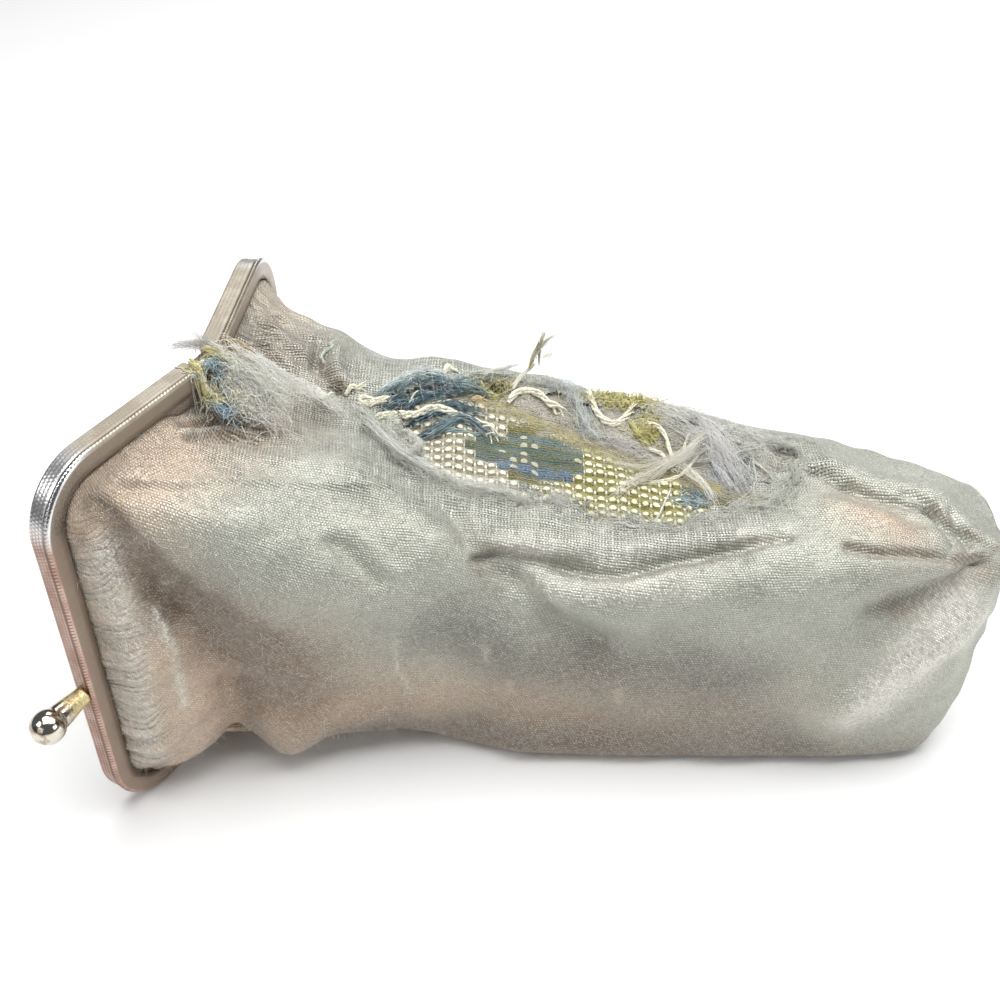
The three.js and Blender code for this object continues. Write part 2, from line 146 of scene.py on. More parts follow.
def jaw_line(depth, start=0.0):
    """Reach, height and inward direction along a jaw at a depth below its outer face, lower leg first."""
    turn = np.radians(np.linspace(-90, 0, 31))
    radius = corner_radius - depth
    lower = np.column_stack([
        leg_length - corner_radius + radius * np.cos(turn), corner_radius + radius * np.sin(turn),
        -np.cos(turn), -np.sin(turn),
    ])
    lower = np.vstack([(start, depth, 0, 1), lower])
    upper = lower[::-1] * (1, -1, 1, -1) + (0, frame_width, 0, 0)
    return np.vstack([lower, upper])


def jaw_ring(depth, jaw, shares):
    """Points along a jaw at a depth, and the direction into the jaw at each."""
    reach, height, in_reach, in_height = travel(jaw_line(depth), shares).T
    inward = np.outer(in_reach, jaw[0])
    inward[:, 2] = in_height
    drop = hinge_drop * (1 - smoothstep(reach, *hinge_drop_reach))
    points = np.outer(reach, jaw[0])
    points[:, 2] = height
    return points + inward * drop[:, None], inward


def section_at(x):
    """The table's columns at any x, by a cubic through its rows."""
    places = sections[:, 0]
    i = int(np.clip(np.searchsorted(places, x, side="right") - 1, 0, len(places) - 2))
    before, low, high, after = sections[[max(i - 1, 0), i, i + 1, min(i + 2, len(places) - 1)]]
    span = high[0] - low[0]
    low_slope = (high - before) / (high[0] - before[0]) * span
    high_slope = (after - low) / (after[0] - low[0]) * span
    row = hermite((x - low[0]) / span, low, low_slope, high, high_slope)
    return dict(zip(section_columns, row))


def rounded(corners, cuts):
    """A run of points through some corners, each cut back and rounded."""
    corners = np.array(corners, float)
    path = [corners[0]]
    t = np.linspace(0, 1, 15)[:, None]
    for before, corner, after, cut in zip(corners, corners[1:], corners[2:], cuts):
        ends = []
        for neighbour in (before, after):
            length = np.linalg.norm(neighbour - corner)
            ends.append(corner + (neighbour - corner) * min(cut / length, most_cut))
        path.extend((1 - t)**2 * ends[0] + 2 * t * (1 - t) * corner + t**2 * ends[1])
    return np.array([*path, corners[-1]])


def section_ring(x, front_shares, back_shares):
    row = section_at(x)
    low = ((row["foot"] + row["back_foot"]) / 2, row["floor"])
    high = ((row["crease_y"] + row["ridge_y"]) / 2, (row["crease_z"] + row["ridge_z"]) / 2)
    crease = (row["crease_y"], row["crease_z"])
    ridge = (row["ridge_y"], row["ridge_z"])
    feet = [(row["foot"], row["floor"]), (row["back_foot"], row["floor"])]
    front = travel(rounded([low, feet[0], crease, high], [foot_cut, row["crease_cut"]]), front_shares)
    back = travel(rounded([high, ridge, feet[1], low], [row["ridge_cut"], foot_cut]), back_shares)
    ring = np.vstack([front, back])
    return np.column_stack([np.full(len(ring), x), ring])


def grid_normals(rows):
    """Outward normals of rows of points, each row a closed ring."""
    along = np.gradient(rows, axis=0)
    around = np.roll(rows, -1, 1) - np.roll(rows, 1, 1)
    normals = np.cross(along, around)
    return normals / np.maximum(np.linalg.norm(normals, axis=-1, keepdims=True), 1e-9)


def fold_height(points, folds):
    height = np.zeros(points.shape[:-1])
    for start, end, width, rise in folds:
        start, line = np.array(start, float), np.subtract(end, start)
        t = np.clip((points - start) @ line / max(line @ line, 1e-9), 0, 1)
        distance = np.linalg.norm(points - start - t[..., None] * line, axis=-1)
        height += rise * np.exp(-(distance / width)**2)
    return height


def pouch_form(front_shares, back_shares, shoulder, body):
    """Rings of points of the outer form from slot to end, and how far each is out of the slot."""
    shares = np.append(front_shares, back_shares)
    slot, leaving, inward, outward = [], [], [], []
    halves = [(front_jaw, front_bulge, front_shares), (back_jaw, back_bulge, 1 - back_shares)]
    for jaw, bulge, places in halves:
        slot.append(jaw_ring(cloth_start, jaw, places)[0])
        points, directions = jaw_ring(cloth_exit, jaw, places)
        leaving.append(points)
        inward.append(directions)
        outward.append(np.tile(jaw[1] * bulge, (len(places), 1)))
    slot, leaving, inward, outward = map(np.vstack, (slot, leaving, inward, outward))
    first = section_ring(sections[0, 0], front_shares, back_shares)
    t = shoulder[:, None, None]
    swell = np.sin(np.pi * shares)[:, None]**0.65 * np.sin(np.pi * t**swell_lead)
    rows = hermite(t, leaving, slot_pull * inward, first, np.array([body_push, 0, 0])) + outward * swell
    rings = [section_ring(x, front_shares, back_shares) for x in body]
    centre = rings[-1].mean(0)
    caps = [centre + (rings[-1] - centre) * share + (0.5 * (1 - share**2), 0, 0)
            for share in (0.985, 0.94, 0.82, 0.62, 0.36, 0.12, 0.004)]
    rows = np.concatenate([slot[None], rows, rings, caps])
    out = np.concatenate([[0], shoulder, np.ones(len(body) + len(caps))])
    return rows, out


def folded(rows, out, folds):
    height = fold_height(rows, folds) * smoothstep(out, 0, 0.1)[:, None]
    rows = rows + grid_normals(rows) * height[..., None]
    rows[..., 2] = np.maximum(rows[..., 2], 0)
    return rows


def layer(rows, out, inset):
    """A surface below the form: centred in the slot, then inset from the form."""
    shift = (cloth_stack / 2 * (1 - smoothstep(out, 0, 1)))[:, None] - inset
    rows = rows + grid_normals(rows) * shift[..., None]
    rows[..., 2] = np.maximum(rows[..., 2], inset)
    return rows


def plan_distance(points, outline):
    """Signed distance in plan to an outline, below 0 inside it."""
    outline = np.array(outline, float)
    nearest = np.full(points.shape[:-1], np.inf)
    inside = np.zeros(points.shape[:-1], bool)
    x, y = points[..., 0], points[..., 1]
    for (ax, ay), (bx, by) in zip(outline, np.roll(outline, -1, 0)):
        t = np.clip(((x - ax) * (bx - ax) + (y - ay) * (by - ay)) / ((bx - ax)**2 + (by - ay)**2), 0, 1)
        nearest = np.minimum(nearest, np.hypot(x - ax - t * (bx - ax), y - ay - t * (by - ay)))
        crosses = (ay > y) != (by > y)
        with np.errstate(divide="ignore", invalid="ignore"):
            left = x < (bx - ax) * (y - ay) / (by - ay) + ax
        inside ^= crosses & left
    return np.where(inside, -nearest, nearest)


def cloth_places(rows, front_count, first_body):
    """Lengths along the cloth, set to x where the body starts, and round it from the upper seam."""
    steps = np.linalg.norm(np.diff(rows, axis=0), axis=-1)
    along = np.vstack([np.zeros((1, rows.shape[1])), np.cumsum(steps, axis=0)])
    along += sections[0, 0] - along[first_body]
    ring = np.concatenate([rows[:, front_count:], rows[:, :front_count]], axis=1)
    steps = np.linalg.norm(np.diff(ring, axis=1), axis=-1)
    around = np.column_stack([np.zeros(len(rows)), np.cumsum(steps, axis=1)])
    whole = around[:, -1:] + np.linalg.norm(ring[:, 0] - ring[:, -1], axis=-1)[:, None]
    around = np.where(np.arange(rows.shape[1]) < rows.shape[1] - front_count, around, around - whole)
    around = np.concatenate([around[:, -front_count:], around[:, :-front_count]], axis=1)
    return along, around


def waves(points, length, seed):
    """Smooth seeded noise of about unit size."""
    chance = np.random.default_rng(seed)
    headings = chance.normal(size=(points.shape[-1], 10))
    headings *= 2 * np.pi / length / np.linalg.norm(headings, axis=0)
    return np.sin(points @ headings + chance.uniform(0, 2 * np.pi, 10)).sum(-1) / math.sqrt(5)


def ring_faces(rows, columns, closed=True):
    i, k = np.mgrid[:rows - 1, :columns if closed else columns - 1]
    after = (k + 1) % columns
    corners = [i * columns + k, (i + 1) * columns + k, (i + 1) * columns + after, i * columns + after]
    return np.stack(corners, -1).reshape(-1, 4)


def add_piece(name, points, faces, material, slot, *replaced, **attributes):
    """One piece from arrays in millimetres about the hinge, standing in for the CAD solids named."""
    mesh = bpy.data.meshes.new(name)
    mesh.vertices.add(len(points))
    mesh.vertices.foreach_set("co", (points * millimetre + hinge).ravel())
    mesh.loops.add(faces.size)
    mesh.loops.foreach_set("vertex_index", faces.ravel())
    mesh.polygons.add(len(faces))
    mesh.polygons.foreach_set("loop_start", np.arange(0, faces.size, faces.shape[1]))
    mesh.update(calc_edges=True)
    mesh.shade_smooth()
    for key, values in attributes.items():
        kept = mesh.attributes.new(key, "FLOAT_VECTOR", "POINT")
        kept.data.foreach_set("vector", np.ascontiguousarray(values, dtype=np.float32).ravel())
    mesh.materials.append(material)
    piece = bpy.data.objects.new(name, mesh)
    bpy.context.scene.collection.objects.link(piece)
    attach(piece, "root")
    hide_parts(*replaced)
    return piece


class Shade:
    """A shader socket with arithmetic, so that a formula reads as one."""

    def __init__(self, tree, socket=None):
        self.tree = tree
        self.socket = socket

    def plug(self, socket, value):
        if isinstance(value, Shade):
            self.tree.links.new(value.socket, socket)
        else:
            socket.default_value = value

    def node(self, kind, settings=None, sockets=None, output=0):
        made = self.tree.nodes.new(kind)
        for name, value in (settings or {}).items():
            if name != "stops":
                setattr(made, name, value)
                continue
            made.color_ramp.interpolation = "CONSTANT"
            while len(made.color_ramp.elements) < len(value):
                made.color_ramp.elements.new(1.0)
            for element, (position, colour) in zip(made.color_ramp.elements, value):
                element.position = position
                element.color = (*colour, 1.0)
        for key, value in (sockets or {}).items():
            self.plug(made.inputs[key], value)
        return Shade(self.tree, made.outputs[output])

    def maths(self, operation, *operands):
        vector = any(isinstance(value, Shade) and value.socket.type == "VECTOR" for value in operands)
        if not vector:
            return self.node("ShaderNodeMath", {"operation": operation}, dict(enumerate(operands)))
        spread = [(value,) * 3 if isinstance(value, (int, float)) else value for value in operands]
        return self.node("ShaderNodeVectorMath", {"operation": operation}, dict(enumerate(spread)))

    def __add__(self, other):
        return self.maths("ADD", self, other)

    def __radd__(self, other):
        return self.maths("ADD", other, self)

    def __sub__(self, other):
        return self.maths("SUBTRACT", self, other)

    def __rsub__(self, other):
        return self.maths("SUBTRACT", other, self)

    def __mul__(self, other):
        return self.maths("MULTIPLY", self, other)

    def __rmul__(self, other):
        return self.maths("MULTIPLY", other, self)

    def __truediv__(self, other):
        return self.maths("DIVIDE", self, other)

    def sine(self):
        return self.maths("SINE", self)

    def floor(self):
        return self.maths("FLOOR", self)

    def fraction(self):
        return self.maths("FRACT", self)

    def size(self):
        return self.maths("ABSOLUTE", self)

    def step(self, low, high, start=0.0, end=1.0):
        settings = {"interpolation_type": "SMOOTHSTEP"}
        return self.node("ShaderNodeMapRange", settings, {0: self, 1: low, 2: high, 3: start, 4: end})

    def parts(self):
        return [self.node("ShaderNodeSeparateXYZ", sockets={0: self}, output=i) for i in range(3)]

    def join(self, x, y, z):
        return self.node("ShaderNodeCombineXYZ", sockets={0: x, 1: y, 2: z})

    def mix(self, other, share):
        """This colour gone over to another by a share."""
        if isinstance(other, tuple):
            other = (*other, 1.0)
        return self.node("ShaderNodeMix", {"data_type": "RGBA"}, {0: share, 6: self, 7: other}, 2)

    def noise(self, scale, detail=2.0, roughness=0.5):
        sockets = {"Vector": self, "Scale": scale, "Detail": detail, "Roughness": roughness}
        return self.node("ShaderNodeTexNoise", sockets=sockets)

    def colour(self, red, green, blue):
        made = self.tree.nodes.new("ShaderNodeRGB")
        made.outputs[0].default_value = (red, green, blue, 1.0)
        return Shade(self.tree, made.outputs[0])

    def attribute(self, name):
        return self.node("ShaderNodeAttribute", {"attribute_name": name}, output=1)

    def place(self):
        """Place on the object in millimetres."""
        return self.node("ShaderNodeTexCoord", output=3) * 1000.0


def new_material(name, constants):
    """A material, a shade to start its formulas from, and a function that sets its surface's sockets."""
    material = bpy.data.materials.new(name)
    material.use_nodes = True
    surface = material.node_tree.nodes["Principled BSDF"]
    start = Shade(material.node_tree)
    for socket, value in constants.items():
        surface.inputs[socket].default_value = value

    def finish(height=None, depth=0.05, **sockets):
        if height is not None:
            bump = {"Strength": 1.0, "Distance": depth * millimetre, "Height": height}
            sockets["Normal"] = start.node("ShaderNodeBump", sockets=bump)
        for socket, value in sockets.items():
            start.plug(surface.inputs[socket.replace("_", " ")], value)
    return material, start, finish


# The chart of the brocade: cream beads in rows on olive, with stepped lozenges of floats in stripes of
# blue, teal and olive, each with the share of the lozenge where it starts
bead_along = 2.15
bead_around = 1.95
motif_along = 40.0
motif_around = 30.0
motif_centre = (59.5, 0.5)
float_pitch = 0.5
stripes = [
    (0.0, (0.12, 0.17, 0.17)), (0.28, (0.17, 0.145, 0.03)), (0.345, (0.09, 0.13, 0.16)),
    (0.37, (0.10, 0.165, 0.25)), (0.405, (0.15, 0.225, 0.30)), (0.425, (0.09, 0.14, 0.20)),
    (0.445, (0.15, 0.14, 0.04)), (0.47, (0.07, 0.12, 0.12)), (0.505, (0.13, 0.14, 0.07)),
    (0.54, (0.09, 0.15, 0.15)), (0.58, (0.18, 0.16, 0.04)), (0.605, (0.14, 0.20, 0.20)),
    (0.65, (0.07, 0.11, 0.10)), (0.68, (0.20, 0.17, 0.04)), (0.74, (0.25, 0.205, 0.05)),
    (0.8, (0.12, 0.11, 0.04)),
]


def brocade_weave(along, around):
    """Relief of the beads from 0 to 1."""
    row = np.floor(around / bead_around)
    across = np.abs(along / bead_along - np.floor(along / bead_along) - 0.5)
    down = np.abs(around / bead_around - row - 0.62)
    return (1 - smoothstep(across, 0.14, 0.36)) * (1 - smoothstep(down, 0.12, 0.34))


def shares_about(split, before, after):
    """Shares from 0 to 1, with one count of steps up to a split and another past it."""
    first = np.linspace(0, split, before, endpoint=False)
    return np.append(first, np.linspace(split, 1, after, endpoint=False))


# The mesh is finer where the tear shows it
brocade_front = shares_about(0.76, 62, 58)
brocade_back = shares_about(0.22, 58, 64)
brocade_shoulder = shares_about(0.5, 26, 44)
brocade_body = np.append(np.arange(45, 116, 0.45), np.linspace(116, 150, 26))
brocade_rows, brocade_out = pouch_form(brocade_front, brocade_back, brocade_shoulder, brocade_body)
brocade_rows = folded(brocade_rows, brocade_out, main_folds)

# It lies just below the satin under the tears, and is drawn in elsewhere, clear of the satin's creases
under_tear = np.minimum.reduce([plan_distance(brocade_rows, outline) for outline in tears])
under_tear = smoothstep(under_tear, 7, 1) * smoothstep(brocade_rows[..., 2], 40, tear_bottom)
on_form = np.maximum(under_tear, 1 - smoothstep(brocade_out, 0.04, 0.2)[:, None])[..., None]
far_edge = smoothstep(brocade_rows[..., 1] + 0.12 * (brocade_rows[..., 0] - 60), 6, 13)[..., None]
inwards = brocade_rows.mean(1, keepdims=True) - brocade_rows
inset = hidden_inset + low_inset * smoothstep(brocade_rows[..., 2:], 36, 18)
inwards *= inset / np.maximum(np.linalg.norm(inwards, axis=-1, keepdims=True), inset)
brocade_near = layer(brocade_rows, brocade_out, brocade_inset)
brocade_far = layer(brocade_rows, brocade_out, far_inset)
brocade_rows = ((brocade_near * (1 - far_edge) + brocade_far * far_edge) * on_form
                + (brocade_rows + inwards) * (1 - on_form))
brocade_along, brocade_around = cloth_places(brocade_rows, len(brocade_front), 1 + len(brocade_shoulder))
figured = 1 - smoothstep(brocade_around + (brocade_along - 60) * 0.3, 6, 9)
brocade_lift = (
    0.2 * figured * brocade_weave(brocade_along, brocade_around)
    + 0.3 * waves(brocade_rows, 9, 3)
    + 0.15 * waves(brocade_rows, 3, 4)
) * under_tear
brocade_rows += grid_normals(brocade_rows) * brocade_lift[..., None]

brocade_material, start, finish = new_material(
    "brocade", {"Sheen Weight": 0.3, "Sheen Roughness": 0.5, "Specular IOR Level": 0.3})
along, around, _ = start.attribute("cloth").parts()
flat = start.join(along, around, 0.0)
row = (around / bead_around).floor()
column = along / bead_along
across = (column.fraction() - 0.5).size()
down = (around / bead_around).fraction() - 0.5
streak = start.join(along * 0.6, around * 4.5, 0.0).noise(1.0, 3.0)
slub = start.join(along * 1.6, around * 3.0, 4.0).noise(1.0, 2.0)
speckle = start.join(along * 2.4, around * 3.6, 9.0).noise(1.0, 2.0, 0.6)
ragged = start.join(along * 2.2, around * 5.0, 0.0).noise(1.0, 2.0) - 0.5
cell = start.join(column.floor(), row, 0.0)
cell_chance = start.node("ShaderNodeTexWhiteNoise", {"noise_dimensions": "2D"}, {"Vector": cell})

# Beads, the small ones beside them, their stems, and the gaps beside the beads, darkened as painted shade
rise = down - 0.16 + ragged * 0.2
bead_edge = across * across * 7.0 + rise * rise * 11.5 + rise * across * 5.0 + (1.0 - cell_chance) * 0.25
bead = bead_edge.step(1.0, 0.55)
side_rise = down + 0.08 + ragged * 0.3
side_bead = ((0.5 - across) * (0.5 - across) * 60.0 + side_rise * side_rise * 22.0).step(1.2, 0.4)
stem = across.step(0.24, 0.14) * (down + 0.2).size().step(0.4, 0.25)
gaps = (across - 0.3).size().step(0.13, 0.05) * (down + 0.12).size().step(0.45, 0.3)

# Lozenges of striped floats, stepped by whole beads
motif_u = (column.floor() * bead_along - motif_centre[0]) / motif_along + 0.5
motif_v = (row * bead_around - motif_centre[1]) / motif_around + 0.5
lozenge = (motif_u.fraction() - 0.5).size() + (motif_v.fraction() - 0.5).size()
lozenge = lozenge + (cell_chance - 0.5) * 0.13 + (speckle - 0.5) * 0.2
figure_share = lozenge.step(0.33, 0.31)
float_line = ((around / float_pitch).fraction() - 0.5).size().step(0.5, 0.12)
drift = flat.noise(0.35, 2.0) - 0.5
stripe_place = ((around - motif_centre[1]) / motif_around + 0.5).fraction() + drift * 0.03
stripe_place = stripe_place + (streak - 0.5) * 0.2 + (speckle - 0.5) * 0.05
floats = start.node("ShaderNodeValToRGB", {"stops": stripes}, {0: stripe_place})
floats = floats.mix((0.17, 0.15, 0.035), streak.step(0.54, 0.64) * 0.65)
floats = floats.mix((0.38, 0.43, 0.35), speckle.step(0.54, 0.7) * 0.4)
floats = floats.mix((0.03, 0.035, 0.03), (1.0 - float_line) * 0.45 + speckle.step(0.5, 0.32) * 0.85)

# Bead and ground colours, yellower towards the far end
right_share = (along + drift * 16.0).step(58.0, 70.0)
bead_colour = start.colour(0.84, 0.80, 0.65).mix((0.92, 0.87, 0.52), right_share)
bead_colour = bead_colour.mix((0.95, 0.92, 0.70), cell_chance * slub.step(0.35, 0.6))
bead_colour = bead_colour.mix((0.50, 0.46, 0.28), speckle.step(0.46, 0.3) * 0.6)
ground = start.colour(0.37, 0.345, 0.25).mix((0.28, 0.255, 0.095), right_share)
ground = ground.mix((0.58, 0.55, 0.38), speckle.step(0.56, 0.72) * 0.6)
stem_colour = start.colour(0.20, 0.18, 0.10).mix((0.16, 0.145, 0.02), right_share)
ground = ground.mix(stem_colour, stem * 0.9)
# Painted shade in the gaps beside the beads
ground = ground.mix((0.03, 0.025, 0.012), gaps * speckle.step(0.62, 0.4) * 0.95)
ground = ground.mix((0.84, 0.82, 0.70), side_bead * slub.step(0.3, 0.5) * 0.9)
lone_bead = bead * cell_chance.step(0.8, 0.86) * 0.45
figure = ground.mix(bead_colour, bead).mix(floats, figure_share * (1.0 - lone_bead))

# The felted back edge, with a gold band along it
back_place = around + (along - 60.0) * 0.3
back_zone = (back_place + (slub - 0.5) * 3.0).step(6.6, 9.4)
felt_pile = (streak * 0.4 + speckle * 0.6).step(0.36, 0.62)
felted = start.colour(0.10, 0.09, 0.065).mix((0.42, 0.405, 0.35), felt_pile)
gold_band = (back_place - 9.0).size().step(3.4, 1.0) * streak.step(0.42, 0.58)
felted = felted.mix((0.33, 0.27, 0.06), gold_band * 0.8)
figure = figure.mix(felted, back_zone * 0.95)
figure = figure.mix((0.40, 0.40, 0.34), flat.noise(0.2, 4.0, 0.6).step(0.58, 0.72) * 0.45)
bead_relief = (bead + side_bead * 0.6 - gaps * 0.8) * (1.0 - figure_share) * (1.0 - back_zone * 0.95)
finish(height=bead_relief + float_line * figure_share * 0.4 + speckle * 0.8, depth=0.22,
       Base_Color=figure, Roughness=bead * -0.15 + 0.8)

brocade_count = len(brocade_front) + len(brocade_back)
brocade = add_piece(
    "brocade_layer", brocade_rows.reshape(-1, 3), ring_faces(len(brocade_rows), brocade_count),
    brocade_material, "brocade", "pouch_brocade",
    cloth=np.stack([brocade_along, brocade_around, 0 * brocade_along], -1).reshape(-1, 3))

# Satin shell
# The pouch's outer cloth, a silver grey satin with a dotted weave, gathered into the frame, warm and brown
# near it and low down, partly from stains and partly as a painted warm reflection, torn open along its
# upper side and by the hinge. Its colour also holds painted shade in its creases and low down, and painted
# highlights on its ridges. Two panels meet in seams along the top and the underside.
satin_columns = 260
satin_shoulder = np.linspace(0, 1, 84, endpoint=False)
satin_body = np.concatenate([np.arange(45, 141, 0.64), np.linspace(141, 153, 24)])
# Runs of wrinkles that are marked as well: under the tear, at the tip, by the hinge and at a corner
tear_crease = [(50, -23.5, 55), (57, -23, 54.6), (76, -24, 53), (99.7, -19.6, 55.6), (108, -18, 56.5)]
tip_seam = [(116.6, 0.8, 57), (121.4, -2.8, 56.5), (126.3, -4.7, 55.8), (138.4, -7, 53.5)]
tip_tuck = [(138.4, -7, 53.5), (140.9, -9.9, 53), (145.7, -12.1, 51.7), (149.4, -14.3, 50.5)]
tip_crease = [(119, -20.5, 56), (123.9, -21.5, 55.2), (131.2, -20.8, 54.7), (138.4, -20, 53.2),
              (146, -18.5, 51)]
upper_ridge = [(-3.9, -10.4, 78.5), (-1.4, -8.2, 77.6), (2.1, -4.4, 75.6), (6.1, -4, 73.4),
               (9.5, -4, 72)]
upper_valley = [(-3.6, -12, 78), (-0.8, -9.6, 77), (2.8, -5.9, 75), (6.4, -5.4, 73), (9.6, -5.2, 71.6)]
lower_ridge = [(-2.8, -13.2, 77.2), (0.4, -9.6, 76), (3.9, -7.2, 74.6), (8.7, -6.8, 72.3)]
lower_valley = [(-1.8, -14, 76.6), (1.6, -10.8, 75), (4.8, -8.6, 74), (9, -8, 71.8)]
corner_dent = [(-17.4, -35, 71), (-16.4, -34.6, 70.2)]
# Narrow wrinkles, stitches and dents of the satin alone: points along each, how wide, how high
fine_folds = [
    (*tear_crease, 1.2, -1.6),
    ((52, -20.5, 57), (76, -21, 56), (100, -16.5, 57.5), 2.4, 0.8),
    (*tip_seam, 1.2, -1.7),
    (*tip_tuck, 1.2, -1.9),
    (*tip_crease, 1.2, -1.6),
    ((119, -10, 57), (128, -12.5, 55.6), (137, -13, 53.6), 4.4, 1.3),
    ((120, 2.5, 57), (130, -0.5, 55), (142, -3, 52.6), 2.6, 1.2),
    ((137, -15, 53), (146, -15.5, 51), 2.0, 0.9),
    ((134, -3.4, 54), (137.2, -5, 53.6), (139.6, -8.6, 53), 0.9, -1.0),
    ((142.6, -6.6, 52.5), (144.5, -11, 52.2), (143.6, -15.6, 52.5), 0.9, -1.0),
    ((140, -11, 53), (141, -15, 52.8), (139, -19, 53), 0.9, -0.8),
    ((116, 0.5, 58), (116.3, 0.3, 58), 1.2, -1.2),
    ((122.6, -3, 57), (122.9, -3.2, 57), 1.2, -1.2),
    (*upper_ridge, 0.9, 1.0),
    (*upper_valley, 0.7, -1.5),
    (*lower_ridge, 0.8, 0.9),
    (*lower_valley, 0.8, -1.2),
    ((4.6, 27, 79), (12, 23, 76.4), (16, 21, 74.6), 1.2, -0.9),
    ((4.6, 24.6, 79), (10, 20.6, 76.8), (15, 17, 74.4), 1.3, 0.9),
    ((4.6, 22, 79), (9, 18, 77), (14, 14.6, 74.4), 1.1, -0.9),
    ((4.6, 19.6, 79), (8.6, 15.8, 77), (13, 12.6, 74.4), 1.2, 0.8),
    ((4.6, 17, 79), (8, 13.6, 77), (12.4, 10.8, 74.4), 1.1, -0.8),
    ((8, 30, 77), (18, 29, 75), 1.8, -1.0),
    (*corner_dent, 0.8, -1.8),
    ((-5.2, -33.5, 58), (-7.5, -33.5, 36), 1.2, 0.9),
    ((24, -28, 50), (60, -27, 30), 5, 0.8),
    ((30, -27, 30), (80, -28, 12), 6, -0.9),
    ((84, -27, 46), (118, -27, 30), 6, 0.7),
    ((16, -30, 54), (10, -31, 30), 4, 0.9),
    ((20, -24, 62), (40, -26, 50), 3.5, -0.9),
    ((-14, -34.5, 67), (-15, -34.5, 14), 3.4, 1.5),
    ((-14.5, -31.7, 76.4), (-12.3, -33.4, 71.9), (-8.5, -33.8, 59.6), (-3.9, -33.1, 48.8), 1.7, -2.3),
    ((-8.5, -33.8, 59.6), (-3.9, -33.1, 48.8), (1, -32.2, 38.4), 4.0, -1.2),
    ((-13.7, -30.1, 77.4), (-11.4, -31.4, 74.9), (-8.4, -32.9, 70.3), (-4.1, -33.1, 62.7),
     (0.8, -32.4, 56.4), 2.2, 1.3),
    ((2, -30, 26), (0, -27, 3), 2.6, -1.2),
    ((-10.4, -26.4, 77.6), (-2.9, -24.1, 74.2), (6.9, -19, 70.7), (18.7, -15.6, 66.7),
     (34.4, -11.7, 62.5), 0.8, 0.6),
    ((24, -24, 60.5), (31, -26, 53), 1.4, -1.3),
    ((27, -22, 61), (35, -25, 54), 1.6, 0.8),
    ((45, -15, 60), (49, -20.5, 57.5), (53.5, -23.9, 54), (59.6, -26.5, 48.6), (64.4, -27, 41),
     (73, -27, 35), 2.2, -1.5),
    ((60, -25, 50), (80, -26, 42), 4.0, 0.9),
    ((146.5, -19.4, 50), (139.7, -23.6, 48), (134.8, -25, 46), (126, -26, 43), 2.0, -2.0),
    ((145, -22, 41), (124, -27.5, 20), 3.5, 1.4),
    ((18.2, 20, 73), (17.6, 15, 72.6), 1.3, -1.0),
    ((17.6, 15, 72.6), (20.6, 9.5, 71), 1.3, -1.4),
    ((21.6, 20, 73), (21.2, 15.5, 72.4), 1.4, 1.1),
    ((21.2, 15.5, 72.4), (24, 10.8, 70.8), 1.4, 1.2),
    ((21.8, 9.6, 70.8), (22.6, 9.8, 70.6), 1.0, -1.8),
]
# Painted shade in creases and valleys, across the lower front and along the bottom edge: points along each
# mark, how wide, how much
shade_lines = [
    ((-14.5, -31.7, 76.4), (-12.3, -33.4, 71.9), (-8.5, -33.8, 59.6), 1.7, 0.85),
    ((-9.4, -33.8, 64), (-4, -33.2, 51), (3, -32, 38.4), 5.6, 0.95),
    ((-2, -32.6, 52), (10, -30.5, 42), 6.0, 0.5),
    ((2.5, -32, 38), (14, -30, 22), 8.0, 0.8),
    ((14, -30, 34), (34, -28, 18), 8.0, 0.35),
    ((0, -31, 50), (16, -30, 34), 8.0, 0.35),
    ((3, -29, 24), (4, -27, 2), 4.0, 0.8),
    ((12, -28, 10), (30, -27, 6), 7.0, 0.45),
    ((55, -27, 12), (100, -27, 16), 12.0, 0.3),
    ((24, -26, 4), (60, -27, 5), (140, -24, 2), 6.0, 0.75),
    (*tear_crease, 0.9, 0.6),
    ((49, -20.5, 57.5), (53.5, -23.9, 54), (59.6, -26.5, 48.6), (64.4, -27, 41), 2.2, 0.25),
    (*tip_seam, 0.8, 0.45),
    (*tip_tuck, 0.9, 0.7),
    (*tip_crease, 0.9, 0.75),
    ((146.5, -19.4, 50), (139.7, -23.6, 48), (134.8, -25, 46), (128, -26, 44), 2.4, 0.65),
    (*upper_valley, 0.55, 0.75),
    (*lower_valley, 0.5, 0.55),
    ((5, 27, 79), (12, 23, 76.4), (16, 21, 74.6), 0.9, 0.4),
    ((5, 22, 79), (9, 18, 77), (14, 14.6, 74.4), 0.8, 0.45),
    ((5, 17, 79), (8, 13.6, 77), (12.4, 10.8, 74.4), 0.8, 0.45),
    (*corner_dent, 0.9, 1.0),
    ((18.2, 20, 73), (17.6, 15, 72.6), 1.6, 0.35),
    ((17.6, 15, 72.6), (21.6, 9.6, 71), 1.5, 0.7),
    ((21.8, 9.6, 70.8), (22.8, 9.8, 70.6), 1.3, 1.0),
]
